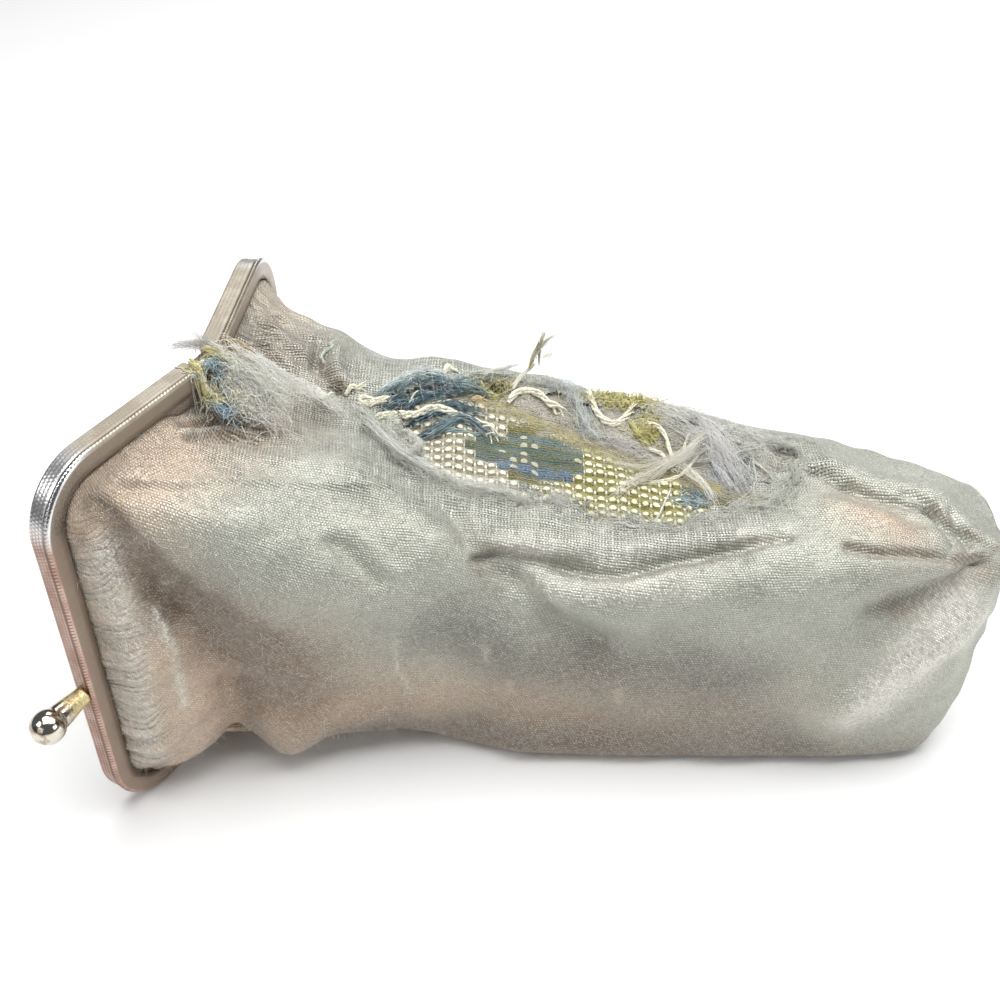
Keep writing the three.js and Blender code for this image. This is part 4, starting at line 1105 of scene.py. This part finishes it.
# Each lock of fibres: two colours, how many, spread, radius, wave, then points in plan with a height above
# the cloth
locks = [
    (green, grey, 170, 1.4, 0.045, 1.2, [(25, 7.1, 0.5), (28, 5, 0.7), (30.5, 1.4, 0.9), (33.5, -1, 1),
     (35.5, -3.8, 1), (38.5, -6.2, 0.9), (42.5, -8.2, 0.7)]),
    (grey, white, 80, 1.0, 0.04, 0.9, [(25, 7.1, 0.7), (30.5, 1.4, 1.1), (35.5, -3.8, 1.2),
     (42.5, -8.2, 0.9)]),
    (green, grey, 110, 0.7, 0.045, 0.65, [(32.2, 1.3, 1), (35, 2.6, 1.5), (38, 1, 1.6),
     (38.4, -2.3, 1.5), (36.5, -5, 1.3), (34.2, -4.6, 1.3), (33.2, -2.6, 1.5), (35, -1, 1.8)]),
    (grey, white, 40, 0.6, 0.04, 0.65, [(33, 1.8, 1.3), (36, 2.4, 1.8), (38.4, 0, 1.9),
     (37.6, -3.4, 1.7), (35, -4, 1.7)]),
    (green, grey, 190, 1.3, 0.045, 1.2, [(41, -7, 0.6), (45, -9.4, 0.7), (49, -9.6, 0.9),
     (53, -9.3, 0.9), (57, -9.9, 0.8), (61, -10.4, 0.7), (65, -10.6, 0.5), (70, -11.4, 0.4)]),
    (grey, white, 90, 1.1, 0.04, 1.0, [(42, -7.4, 0.9), (49, -9.4, 1.2), (57, -9.6, 1.1),
     (69, -11, 0.7)]),
    (grey, green, 130, 1.2, 0.04, 1.2, [(69, -11.4, 0.4), (75, -12, 0.5), (81, -14.4, 0.5),
     (87, -14.8, 0.5), (94, -12.6, 0.6), (101, -10.4, 0.7), (106, -7.6, 0.7)]),
    (green, grey, 140, 1.3, 0.045, 0.8, [(101, -10.4, 0.6), (107, -8.6, 0.7), (110, -5, 0.8),
     (112, -1, 0.8), (112, 3.4, 0.7)]),
    (white, grey, 150, 1.4, 0.04, 1.4, [(82, 14.4, 0.7), (88, 14.6, 1), (93, 13, 1.3), (99, 12.2, 1.2),
     (105, 9.8, 1), (111, 6, 0.7)]),
    (white, cream, 60, 0.7, 0.042, 0.42, [(96.4, 7.7, 1.2), (92.6, 4.4, 1.6), (89, 1.3, 1.4),
     (84.1, -1.8, 1), (79.2, -4.7, 0.8), (75.5, -9.4, 0.6)]),
    (white, cream, 44, 0.9, 0.04, 0.42, [(95, 6.4, 1), (89, 1.6, 1.4), (82.9, 0, 1), (76.8, 0.5, 0.8),
     (74.3, 2.6, 0.6)]),
    (white, lilac, 50, 1.2, 0.04, 0.42, [(96, 8.4, 1), (97, 4, 1.2), (97.6, 0, 1.1), (100, -4.6, 0.8)]),
    (white, cream, 44, 0.9, 0.04, 0.42, [(89, 1.3, 1.2), (92.7, -2.4, 1), (95, -6, 0.8),
     (96, -9, 0.6)]),
    (lilac, white, 70, 2.2, 0.04, 1.8, [(90, 9.6, 0.8), (96, 5, 1.1), (101, 0.6, 1), (103, -4, 0.8)]),
    (white, grey, 90, 2.2, 0.04, 1.8, [(94, 10.4, 0.9), (101, 8, 1.2), (106, 4, 1.1), (108, -1, 0.9)]),
    (grey, lilac, 80, 1.8, 0.04, 1.4, [(72, 7, 0.6), (77, 4.6, 0.8), (82, 3.4, 0.9), (88, 1.6, 0.9)]),
    (pale_blue, grey, 90, 1.6, 0.045, 1.4, [(62, 17, 0.6), (66.4, 17.4, 1.2), (69, 15.2, 1.3),
     (69.8, 11.7, 1), (71, 7.8, 0.7), (73.4, 5.4, 0.4)]),
    (grey, white, 50, 1.6, 0.04, 1.4, [(64, 17.4, 0.8), (68, 16, 1.4), (70.4, 11.7, 1.2),
     (72, 7.4, 0.8), (76, 4, 0.6)]),
    (navy, teal, 110, 0.8, 0.12, 0.4, [(31.6, 7.2, 0.3), (35.7, 10.6, 0.6), (39.1, 12.4, 0.8),
     (43.6, 13.6, 0.7), (47.4, 14, 0.4)]),
    (navy, pale_teal, 70, 0.6, 0.12, 0.4, [(37.9, 3.4, 0.2), (41.8, 5.2, 0.6), (46.1, 8, 0.8),
     (49.8, 6.9, 0.5), (52.3, 4.8, 0.1)]),
    (navy, teal, 70, 0.9, 0.12, 0.5, [(36, 6, 0.3), (40, 8.4, 0.5), (45, 10.6, 0.5), (50, 9, 0.1)]),
    (teal, pale_teal, 170, 0.8, 0.08, 0.9, [(29, 9.9, 0.6), (32.7, 11.8, 0.8), (36.4, 14.6, 0.9),
     (40.9, 15.4, 1), (45, 14.4, 1), (49.6, 14.6, 0.7)]),
    (pale_teal, white, 90, 0.7, 0.06, 0.9, [(30, 10.4, 0.9), (36.4, 15, 1.4), (40.9, 15.8, 1.5),
     (46, 14.6, 1.3)]),
    (grey, green, 90, 1.0, 0.05, 0.9, [(57, 17, 0.4), (62, 17.2, 0.6), (68, 17.6, 0.6),
     (74, 16.6, 0.4)]),
    (green, white, 60, 1.4, 0.045, 0.55, [(6.4, 7.4, 0.6), (8.4, 6.4, 0.7), (11.5, 4.8, 0.7),
     (15.4, 2.6, 0.5)]),
    (grey, white, 60, 1.6, 0.045, 0.55, [(3, 3.4, 0.8), (6, 3.6, 0.9), (9.5, 3, 0.8),
     (14.6, 0.6, 0.5)]),
    (green, cream, 60, 1.8, 0.045, 0.6, [(2.6, 0.6, 0.7), (5.6, 0.4, 0.9), (9.6, -0.6, 0.8),
     (14.6, -1.6, 0.4)]),
    (white, green, 150, 2.6, 0.05, 1.4, [(3, -2.6, 0.5), (6.4, -2.2, 0.7), (9.7, -2.4, 0.6),
     (14.4, -1.6, 0.3)]),
    (cream, white, 130, 1.6, 0.05, 1.4, [(4, -5.8, 0.4), (7.1, -5, 0.5), (10.5, -4.2, 0.4),
     (14, -3.6, 0.3)]),
    (cream, lilac, 30, 0.4, 0.045, 0.4, [(-4, 3.4, 0.8), (-0.6, 2.6, 1.2), (1.8, 1.4, 1.2),
     (4.6, -1.4, 0.9)]),
    (lilac, grey, 80, 0.8, 0.04, 0.9, [(1.6, 1.6, 0.6), (-1.6, 1.4, 1.2), (-4.2, 1.4, 1.4),
     (-6.8, 1.6, 1)]),
    (lilac, grey, 34, 0.7, 0.04, 0.6, [(1, 2, 0.8), (-0.8, 1.8, 2.4), (-1.6, 1.6, 4)]),
    (grey, white, 130, 1.9, 0.04, 1.4, [(12, 4.6, 0.4), (16.6, 4.2, 0.7), (21, 3, 0.8),
     (26, 3.6, 0.6)]),
    (cream, white, 44, 0.22, 0.09, 0.2, [(56.7, 15.6, 0.4), (58.1, 17, 1.8), (59.8, 18, 3),
     (61.2, 18.5, 4.2)]),
    (cream, gold, 50, 0.35, 0.06, 0.35, [(60, 18, 3.2), (60.9, 18.6, 6), (62.1, 18.8, 9),
     (63, 19, 12)]),
    (cream, white, 34, 0.3, 0.06, 0.35, [(60.9, 18.6, 5.8), (63, 18.8, 9.2), (65.6, 19, 11.8)]),
    (cream, white, 30, 0.5, 0.035, 0.7, [(62.8, 18.6, 5.6), (64.1, 18.8, 6.8), (64.8, 19, 8)]),
    (white, grey, 60, 0.35, 0.045, 0.7, [(50.1, 18, 0.6), (54.1, 19, 2), (56.5, 19, 3.2),
     (59.1, 19.2, 4.2)]),
    (green, grey, 110, 0.8, 0.042, 0.8, [(105, 9.4, 0.5), (110, 7.8, 0.6), (113.6, 6, 0.6),
     (114.6, 3, 0.5)]),
    (white, grey, 60, 1.6, 0.032, 0.42, [(84, 13, 0.9), (92, 8.6, 1.4), (100, 2, 1.5), (106, -4, 1)]),
    (white, lilac, 60, 1.6, 0.032, 0.42, [(93, 13, 0.9), (98, 6, 1.6), (101, -1, 1.4), (103, -6, 0.9)]),
    (white, grey, 50, 1.4, 0.032, 0.42, [(109, 7, 0.8), (102, 4.6, 1.6), (94, 2, 1.6), (86, 2, 1)]),
    (green, white, 50, 0.9, 0.034, 0.42, [(27, 4, 0.8), (33, -2.4, 1.2), (41, -6.6, 1.1), (50, -8.2, 1),
     (58, -8.6, 0.8)]),
    (white, grey, 40, 1.0, 0.032, 0.42, [(40, -6.4, 0.9), (47, -7.4, 1.4), (54, -7.4, 1.3),
     (62, -8.6, 0.9)]),
]
lock_steps = 10
fibre_sides = 3
lock_paths, lock_radii, lock_tones = [], [], []
for tone, other, count, spread, radius, wave, points in locks:
    run = curve(points, 60)
    run_length = np.linalg.norm(np.diff(run, axis=0), axis=1).sum()
    matted = smoothstep(wave, 0.45, 0.7)
    lengths = chance.uniform(0.4, 1.0, (count, 1)) * run_length * (1 - matted)
    lengths += chance.uniform(2.5, 8, (count, 1)) * matted
    shares = np.minimum(lengths / run_length, 1)
    first = chance.uniform(0, 1, (count, 1)) * (1 - shares)
    t = first + shares * np.linspace(0, 1, lock_steps)
    paths = np.stack([np.interp(t, np.linspace(0, 1, 60), column) for column in run.T], -1)
    aside = chance.normal(size=(count, 1, 3))
    slant = chance.normal(size=(count, 1, 3)) * (t - t.mean(1, keepdims=True))[..., None] * 2
    paths += (aside + slant) * spread * (0.7, 0.7, 0.35)
    phase = chance.uniform(0, 6.3, (count, 1, 3))
    phase = phase + chance.uniform(0.6, 2.4, (count, 1, 3)) * run_length * t[..., None]
    paths += np.sin(phase) * wave * chance.uniform(0.2, 1, (count, 1, 3)) * (0.7, 0.7, 0.5)
    above = np.maximum(paths[..., 2], 0.05)
    paths[..., 2] = ground_height(paths[..., :2])
    smooth = np.pad(paths[..., 2], ((0, 0), (1, 1)), "edge")
    paths[..., 2] = np.maximum(smooth[:, :-2], np.maximum(smooth[:, 1:-1], smooth[:, 2:])) + above
    lock_paths.append(paths)
    lock_radii.append(radius * chance.uniform(0.6, 1.2, (count, 1)) * np.linspace(1, 0.5, lock_steps))
    shares = chance.uniform(0, 1, (count, 1)).repeat(lock_steps * fibre_sides, axis=0)
    lock_tones.append(np.array(tone) * (1 - shares) + np.array(other) * shares)
lock_material, start, finish = new_material("frayed_lock", {"Sheen Weight": 0.4, "Sheen Roughness": 0.4})
faded = start.place().noise(0.8, 2.0).step(0.5, 0.7) * 0.3
finish(Base_Color=start.attribute("tone").mix((0.9, 0.9, 0.86), faded), Roughness=0.55)
points, faces = tubes(np.vstack(lock_paths), np.vstack(lock_radii), fibre_sides)
add_piece("frayed_locks", points, faces, lock_material, "brocade", "pouch_brocade",
          tone=np.vstack(lock_tones))

# Loose fibres
# Fine silk fibres worked out of the weave: a halo of short ones over the whole satin, and long curling
# ones along the edges of the tears.
fuzz_count = 4600
fuzz_taper = np.array([1, 0.87, 0.7, 0.4])
fluff_count = 1300
fluff_steps = 8
flat_rows = satin_rows.reshape(-1, 3)
flat_normals = satin_normals.reshape(-1, 3)
flat_gap = tear_gap.ravel()
whole = (flat_gap > 0) & (satin_out.repeat(2 * satin_columns) > 0.02)
flat_x, flat_y, flat_z = flat_rows.T
brown_zone = smoothstep(flat_x, 46, 8) * smoothstep(flat_y, -14, -24)
back_edge = smoothstep(flat_y, 8, 15) * smoothstep(flat_z, 46, 54) * smoothstep(flat_x, 30, 60)
weight = np.where(whole, 1.0, 0) * (0.4 + 3.0 * brown_zone + 2.0 * np.exp(-flat_gap / 4) + 2.0 * back_edge
                                     + 1.5 * smoothstep(flat_z, 12, 2))
picked = chance.choice(len(flat_rows), fuzz_count, p=weight / weight.sum())
headings = flat_normals[picked] * chance.uniform(0.15, 0.8, (fuzz_count, 1))
headings += 0.8 * chance.normal(size=(fuzz_count, 3))
headings /= np.linalg.norm(headings, axis=-1, keepdims=True)
inward = np.minimum((headings * flat_normals[picked]).sum(-1) - 0.12, 0)
headings -= flat_normals[picked] * 1.6 * inward[:, None]
lengths = chance.gamma(3.0, 0.45, fuzz_count).clip(0.5, 3.4)
fuzz_paths = fibres(flat_rows[picked], headings, lengths, len(fuzz_taper), 0.55, 0.1)
fuzz_radii = chance.uniform(0.018, 0.042, (fuzz_count, 1)) * fuzz_taper
fuzz_points, fuzz_faces = tubes(fuzz_paths, fuzz_radii, fibre_sides)
fibre_material, start, finish = new_material("loose_fibre", {"Sheen Weight": 0.4, "Roughness": 0.8})
finish(Base_Color=start.colour(0.62, 0.60, 0.54).mix((0.86, 0.85, 0.80), start.place().noise(0.6)))
add_piece("satin_fuzz", fuzz_points, fuzz_faces, fibre_material, "satin", "pouch_satin")

tear_edge = np.flatnonzero((flat_gap > 0) & (flat_gap < 1.8))
picked = chance.choice(tear_edge, fluff_count)
slope = np.column_stack([tear_slope.reshape(-1, 2)[picked], np.zeros(fluff_count)])
slope /= np.maximum(np.linalg.norm(slope, axis=-1, keepdims=True), 1e-6)
side = np.cross(slope, (0, 0, 1)) * chance.choice([-1, 1], (fluff_count, 1))
headings = side * chance.uniform(0.2, 1.4, (fluff_count, 1))
headings -= slope * chance.uniform(-0.7, 0.8, (fluff_count, 1))
headings += flat_normals[picked] * chance.uniform(0.1, 0.9, (fluff_count, 1))
headings /= np.linalg.norm(headings, axis=-1, keepdims=True)
lengths = chance.gamma(3.0, 1.1, fluff_count).clip(1.0, 7)
fluff_paths = fibres(flat_rows[picked], headings, lengths, fluff_steps, 0.5, 0.2)
fluff_radii = chance.uniform(0.02, 0.04, (fluff_count, 1)) * np.linspace(1, 0.5, fluff_steps)
fluff_points, fluff_faces = tubes(fluff_paths, fluff_radii, fibre_sides)
add_piece("tear_fluff", fluff_points, fluff_faces, fibre_material, "satin", "pouch_satin")

# Jaws
# Two pressed steel channels with rounded corners, hinged at their legs. The outer face is embossed with
# small dimples and edged with a row of beads, plated in nickel. On the bars it is painted a copper pink as
# a warm reflection, and at the upper corner it is whiter as a painted highlight.
channel_width = 4.6
channel_depth = 4.0
channel_wall = 0.7
leg_start = 4.0
bead_pitch = 0.8
bead_line = 1.7
bead_half = 0.34
groove_line = 1.2
dimple_pitch = 0.75
dimple_start = 2.1
lug_wall = 0.7
lug_hole = 1.1
lug_half = 2.0
lug_end = 2.3
lug_length = 9.0
lug_chamfer = 0.1
lug_sides = 72
jaw_stations = 760


def jaw_profile():
    """Depth and distance across of the channel's section, with rounded edges, as a closed run."""
    half = channel_width / 2
    inner = half - channel_wall
    corners = [
        (0, 0), (0, half), (channel_depth, half),
        (channel_depth, inner), (channel_wall, inner), (channel_wall, 0),
    ]
    side = rounded(corners, [0.55, 0.3, 0.3, 0.3])
    steps = np.append(0, np.cumsum(np.linalg.norm(np.diff(side, axis=0), axis=1)))
    face = np.linspace(0, half - 0.5, 8, endpoint=False)
    bend = np.linspace(half - 0.5, half + 0.6, 6, endpoint=False)
    rest = np.linspace(half + 0.6, steps[-1], 6)
    places = np.concatenate([face, bend, rest])
    side = np.column_stack([np.interp(places, steps, column) for column in side.T])
    mirrored = side[::-1] * (1, -1)
    return np.vstack([side, mirrored[1:-1]])


def jaw_relief(run, across):
    """Height of the embossing on the outer face."""
    bead_long = np.sqrt(np.clip(1 - (2 * ((run / bead_pitch) % 1) - 1)**2, 0, 1))
    bead_wide = np.sqrt(np.clip(1 - ((across - bead_line) / bead_half)**2, 0, 1))
    beads = bead_long * bead_wide
    groove = np.exp(-((across - groove_line) / 0.16)**2)
    row = np.floor((across + dimple_start) / dimple_pitch)
    u = run / dimple_pitch + 0.5 * (row % 2)
    radius = np.hypot(u - np.floor(u) - 0.5, (across + dimple_start) / dimple_pitch - row - 0.5)
    dimples = (1 - smoothstep(radius, 0.18, 0.46)) * (across < 1.05) * (across > -2.0)
    return 0.24 * beads - 0.12 * groove + 0.05 * dimples


def turned(profile, sides, origin, direction):
    """A turned form whose profile of radius and distance runs along a direction."""
    direction = np.array(direction, float)
    level = np.cross(direction, (0.2, 0.3, 0.93))
    level /= np.linalg.norm(level)
    upright = np.cross(direction, level)
    turn = np.linspace(0, 2 * np.pi, sides, endpoint=False)[:, None]
    ring = level * np.cos(turn) + upright * np.sin(turn)
    profile = np.array(profile, float)
    points = origin + profile[:, 1, None, None] * direction + profile[:, 0, None, None] * ring
    return points.reshape(-1, 3), ring_faces(len(profile), sides)


def lug(jaw, depth, upper):
    """A flat tongue at a depth in a leg, with a round end and the rivet's hole."""
    angle = np.linspace(0, 2 * np.pi, lug_sides, endpoint=False)
    cosine = np.cos(angle)
    sine = np.abs(np.sin(angle)).clip(1e-6)
    radius = lug_end / (sine + 0.075 * cosine.clip(0))
    radius = np.where(radius * cosine > 4, lug_half / sine, radius)
    radius = np.where(cosine > 0, np.minimum(radius, lug_length / cosine.clip(1e-6)), lug_end)
    side = np.cross((0, 0, 1), jaw[0])
    flat = np.cos(angle)[:, None] * jaw[0] + np.sin(angle)[:, None] * side
    foot = frame_width - depth - lug_wall if upper else depth
    top = foot + lug_wall
    hole = np.full(lug_sides, lug_hole)
    inside = radius - lug_chamfer
    rings = [
        (hole, foot), (inside, foot), (radius, foot + lug_chamfer), (radius, top - lug_chamfer),
        (inside, top), (hole, top), (hole, foot),
    ]
    points = [flat * ring[:, None] + (0, 0, height) for ring, height in rings]
    return np.vstack(points), ring_faces(len(rings), lug_sides)


def jaw_mesh(jaw, lug_depth):
    line = travel(jaw_line(0, leg_start), np.linspace(0, 1, jaw_stations))
    run = np.append(0, np.cumsum(np.linalg.norm(np.diff(line[:, :2], axis=0), axis=1)))
    profile = jaw_profile()
    outer = profile[:, 0] < 0.3
    depth = profile[:, 0] - np.where(outer, jaw_relief(run[:, None], profile[:, 1]), 0)
    reach = line[:, 0, None] + line[:, 2, None] * depth
    height = line[:, 1, None] + line[:, 3, None] * depth
    points = reach[..., None] * jaw[0] + profile[:, 1, None] * jaw[1]
    points[..., 2] += height
    count = len(profile)
    half = np.arange(count // 2)
    cap = np.column_stack([half, half + 1, (-half - 1) % count, -half % count])
    faces = [ring_faces(jaw_stations, count), cap, cap[:, ::-1] + (jaw_stations - 1) * count]
    parts = [(points.reshape(-1, 3), np.vstack(faces))]
    bands = [np.column_stack([run.repeat(count), np.tile(profile[:, 1], jaw_stations), depth.ravel()])]
    for upper in (False, True):
        parts.append(lug(jaw, lug_depth, upper))
        bands.append(np.tile((0.0, 0.0, 2.0), (len(parts[-1][0]), 1)))
    return *joined(parts), np.vstack(bands)


plate_material, start, finish = new_material("frame_plate", {"Specular IOR Level": 0.5})
run, across, depth = start.attribute("band").parts()
place = start.place()
bar = run.step(16.0, 30.0) * run.step(116.0, 106.0)
# Painted highlight at the upper corner, where the plating is also smoother and more metallic
corner_highlight = run.step(106.0, 112.0) * run.step(130.0, 122.0)
blotch = place.noise(0.22, 4.0, 0.6)
speck = place.noise(1.6, 3.0, 0.6)
nickel = start.colour(0.36, 0.315, 0.25).mix((0.45, 0.405, 0.335), blotch.step(0.4, 0.62))
# Copper pink on the bars, a painted warm reflection
copper_reflection = start.colour(0.44, 0.26, 0.205).mix((0.62, 0.44, 0.37), blotch.step(0.4, 0.62))
flange = depth.step(0.35, 0.7)
plate = nickel.mix(copper_reflection, bar * 0.9).mix((0.80, 0.80, 0.80), corner_highlight)
plate = plate.mix((0.285, 0.225, 0.17), flange * 0.9)
groove = (across - groove_line).size().step(0.3, 0.1) * depth.step(0.5, 0.2)
plate = plate.mix((0.10, 0.06, 0.045), groove * (bar * 0.5 + 0.4))
dot_row = ((across + dimple_start) / dimple_pitch).floor()
dot_u = (run / dimple_pitch + (dot_row * 0.5).fraction()).fraction() - 0.5
dot_v = ((across + dimple_start) / dimple_pitch).fraction() - 0.5
between = (dot_u * dot_u + dot_v * dot_v).step(0.08, 0.2) * depth.step(0.3, 0.1)
plate = plate.mix((0.16, 0.095, 0.07), between * (bar * 0.6 + 0.12))
from_beads = (across - bead_line).size()
bead_gap = ((run / bead_pitch).fraction() - 0.5).size().step(0.36, 0.5) * from_beads.step(0.5, 0.3)
plate = plate.mix((0.07, 0.05, 0.04), bead_gap * depth.step(0.5, 0.2) * 0.8)
plate = plate.mix((0.22, 0.17, 0.12), speck.step(0.56, 0.72) * 0.3)
beaded = from_beads.step(0.6, 0.4) * depth.step(0.5, 0.2)
finish(height=speck, depth=0.02, Base_Color=plate,
       Metallic=bar * 0.25 + corner_highlight * 0.5 + beaded * 0.3 + 0.45 - flange * 0.15,
       Roughness=speck * 0.2 - corner_highlight * 0.2 - beaded * 0.1 + 0.36)
for name, jaw, lug_depth in (("frame_front", front_jaw, 1.1), ("frame_back", back_jaw, 2.1)):
    points, faces, band = jaw_mesh(jaw, lug_depth)
    add_piece(name + "_plated", points, faces, plate_material, "frame_metal", name, band=band)

# Hinge rivets
# Two short steel rivets with domed flush heads on which the jaws swing.
rivet_sides = 32
rivet_profile = [
    (0.02, 0.1), (0.9, 0.14), (1.4, 0.28), (1.68, 0.5), (1.7, 0.8), (0.8, 0.82),
    (0.8, 3.1), (1.7, 3.1), (1.68, 3.5), (1.4, 3.7), (0.02, 3.8),
]
rivet_material, start, finish = new_material("rivet_plate", {"Metallic": 1.0})
tarnish = start.place().noise(0.9, 4.0, 0.65)
finish(height=tarnish, depth=0.05, Roughness=tarnish * 0.3 + 0.2,
       Base_Color=start.colour(0.62, 0.58, 0.53).mix((0.24, 0.19, 0.14), tarnish.step(0.5, 0.7)))
for name, foot, heading in (("hinge_rivet_lower", 0.0, 1), ("hinge_rivet_upper", frame_width, -1)):
    points, faces = turned(rivet_profile, rivet_sides, np.array([0, 0, foot]), (0, 0, heading))
    add_piece(name + "_domed", points, faces, rivet_material, "rivet_metal", name)

# Kiss lock clasp
# Two balls on stems that widen into them, one staked through each bar, which snap past each other. The
# plating is bright on the ball and worn to brass at the foot.
clasp_sides = 48
ball_radius = 3.3
ball_centre = 9.2
ball_turn = np.linspace(math.asin(2.5 / ball_radius), math.pi - math.asin(1.3 / ball_radius), 22)
clasp_profile = [
    (0.02, -1.6), (1.3, -1.6), (1.45, -1.45), (1.45, -1.05), (1.4, -1.0), (1.0, -1.0), (1.0, 0.3),
    (1.7, 0.3), (1.8, 0.4), (1.8, 0.8), (1.78, 1.0), (1.86, 2), (2.04, 3.4), (2.28, 5.0), (2.46, 6.4),
]
clasp_profile += [(ball_radius * math.sin(a), ball_centre - ball_radius * math.cos(a)) for a in ball_turn]
tip = ball_centre - ball_radius * math.cos(ball_turn[-1])
clasp_profile += [(1.1, tip + 0.05), (0.7, tip + 0.02), (0.02, tip)]
clasp_material, start, finish = new_material("clasp_plate", {"Metallic": 1.0})
run, _, _ = start.attribute("band").parts()
wear = start.place().noise(0.5, 4.0, 0.6)
brass = (run + (wear - 0.5) * 5.0).step(6.8, 3.2)
pits = start.place().noise(2.2, 3.0, 0.6)
plating = start.colour(0.66, 0.61, 0.53).mix((0.36, 0.29, 0.22), wear.step(0.5, 0.64))
finish(height=wear + pits * brass * 3.0, depth=0.05, Roughness=wear * 0.1 + brass * 0.2 + 0.07,
       Base_Color=plating.mix((0.78, 0.66, 0.36), brass))
for name, jaw, height in (("clasp_front", front_jaw, 36.0), ("clasp_back", back_jaw, 43.5)):
    origin = jaw[0] * leg_length + (0, 0, height)
    points, faces = turned(clasp_profile, clasp_sides, origin, jaw[0])
    band = np.repeat([(along, 0, 0) for _, along in clasp_profile], clasp_sides, axis=0)
    add_piece(name + "_turned", points, faces, clasp_material, "clasp_metal", name, band=band)

# Studio
# A pale plain floor, a large soft light overhead with weaker ones round it, and the camera where the
# photographer stood.
camera_place = np.array([54.1, -199.4, 217.5])
camera_data = bpy.data.cameras.new("camera")
camera_data.lens = 46.62
camera_data.sensor_width = 36.0
camera_data.clip_start = 0.01
camera = bpy.data.objects.new("camera", camera_data)
camera.location = camera_place * millimetre + hinge
camera.rotation_euler = (math.radians(50), 0, 0)
bpy.context.scene.collection.objects.link(camera)
bpy.context.scene.camera = camera

floor_half = 3.0
floor_level = -0.0003
floor_corners = [
    (x * floor_half, y * floor_half, floor_level) for x, y in ((-1, -1), (1, -1), (1, 1), (-1, 1))
]
floor_mesh = bpy.data.meshes.new("floor")
floor_mesh.from_pydata(floor_corners, [], [(0, 1, 2, 3)])
floor_material, start, finish = new_material("floor", {"Specular IOR Level": 0.1})
grain = start.place().noise(0.02, 2.0)
finish(Base_Color=start.colour(0.87, 0.87, 0.865).mix((0.89, 0.89, 0.885), grain), Roughness=0.9)
floor_mesh.materials.append(floor_material)
floor = bpy.data.objects.new("floor", floor_mesh)
bpy.context.scene.collection.objects.link(floor)

# Each light: name, place, aim, width, length, power
lights = [
    ("key", (0.1, 0.02, 0.6), (0.03, 0.0, 0.03), 0.5, 0.8, 6.0),
    ("back", (0.05, 0.8, 0.66), (0.05, 0.35, 0.0), 0.7, 0.4, 3.0),
    ("fill", (-0.4, -0.6, 0.3), (0.0, 0.0, 0.03), 0.4, 0.4, 0.5),
    ("side", (0.6, -0.3, 0.3), (0.03, 0.0, 0.03), 0.3, 0.3, 1.0),
    ("left", (-0.46, -0.22, 0.46), (-0.06, -0.03, 0.05), 0.22, 0.22, 0.8),
]
for name, place, aim, width, length, power in lights:
    lamp = bpy.data.lights.new(name, "AREA")
    lamp.shape = "RECTANGLE"
    lamp.size = width
    lamp.size_y = length
    lamp.energy = power
    holder = bpy.data.objects.new(name, lamp)
    holder.location = place
    heading = np.subtract(aim, place)
    holder.rotation_euler = (math.atan2(math.hypot(heading[0], heading[1]), -heading[2]), 0,
                             math.atan2(-heading[0], heading[1]))
    bpy.context.scene.collection.objects.link(holder)
world = bpy.data.worlds.new("studio")
world.use_nodes = True
world.node_tree.nodes["Background"].inputs[0].default_value = (0.80, 0.82, 0.85, 1.0)
world.node_tree.nodes["Background"].inputs[1].default_value = 0.15
bpy.context.scene.world = world
bpy.context.scene.view_settings.view_transform = "Standard"
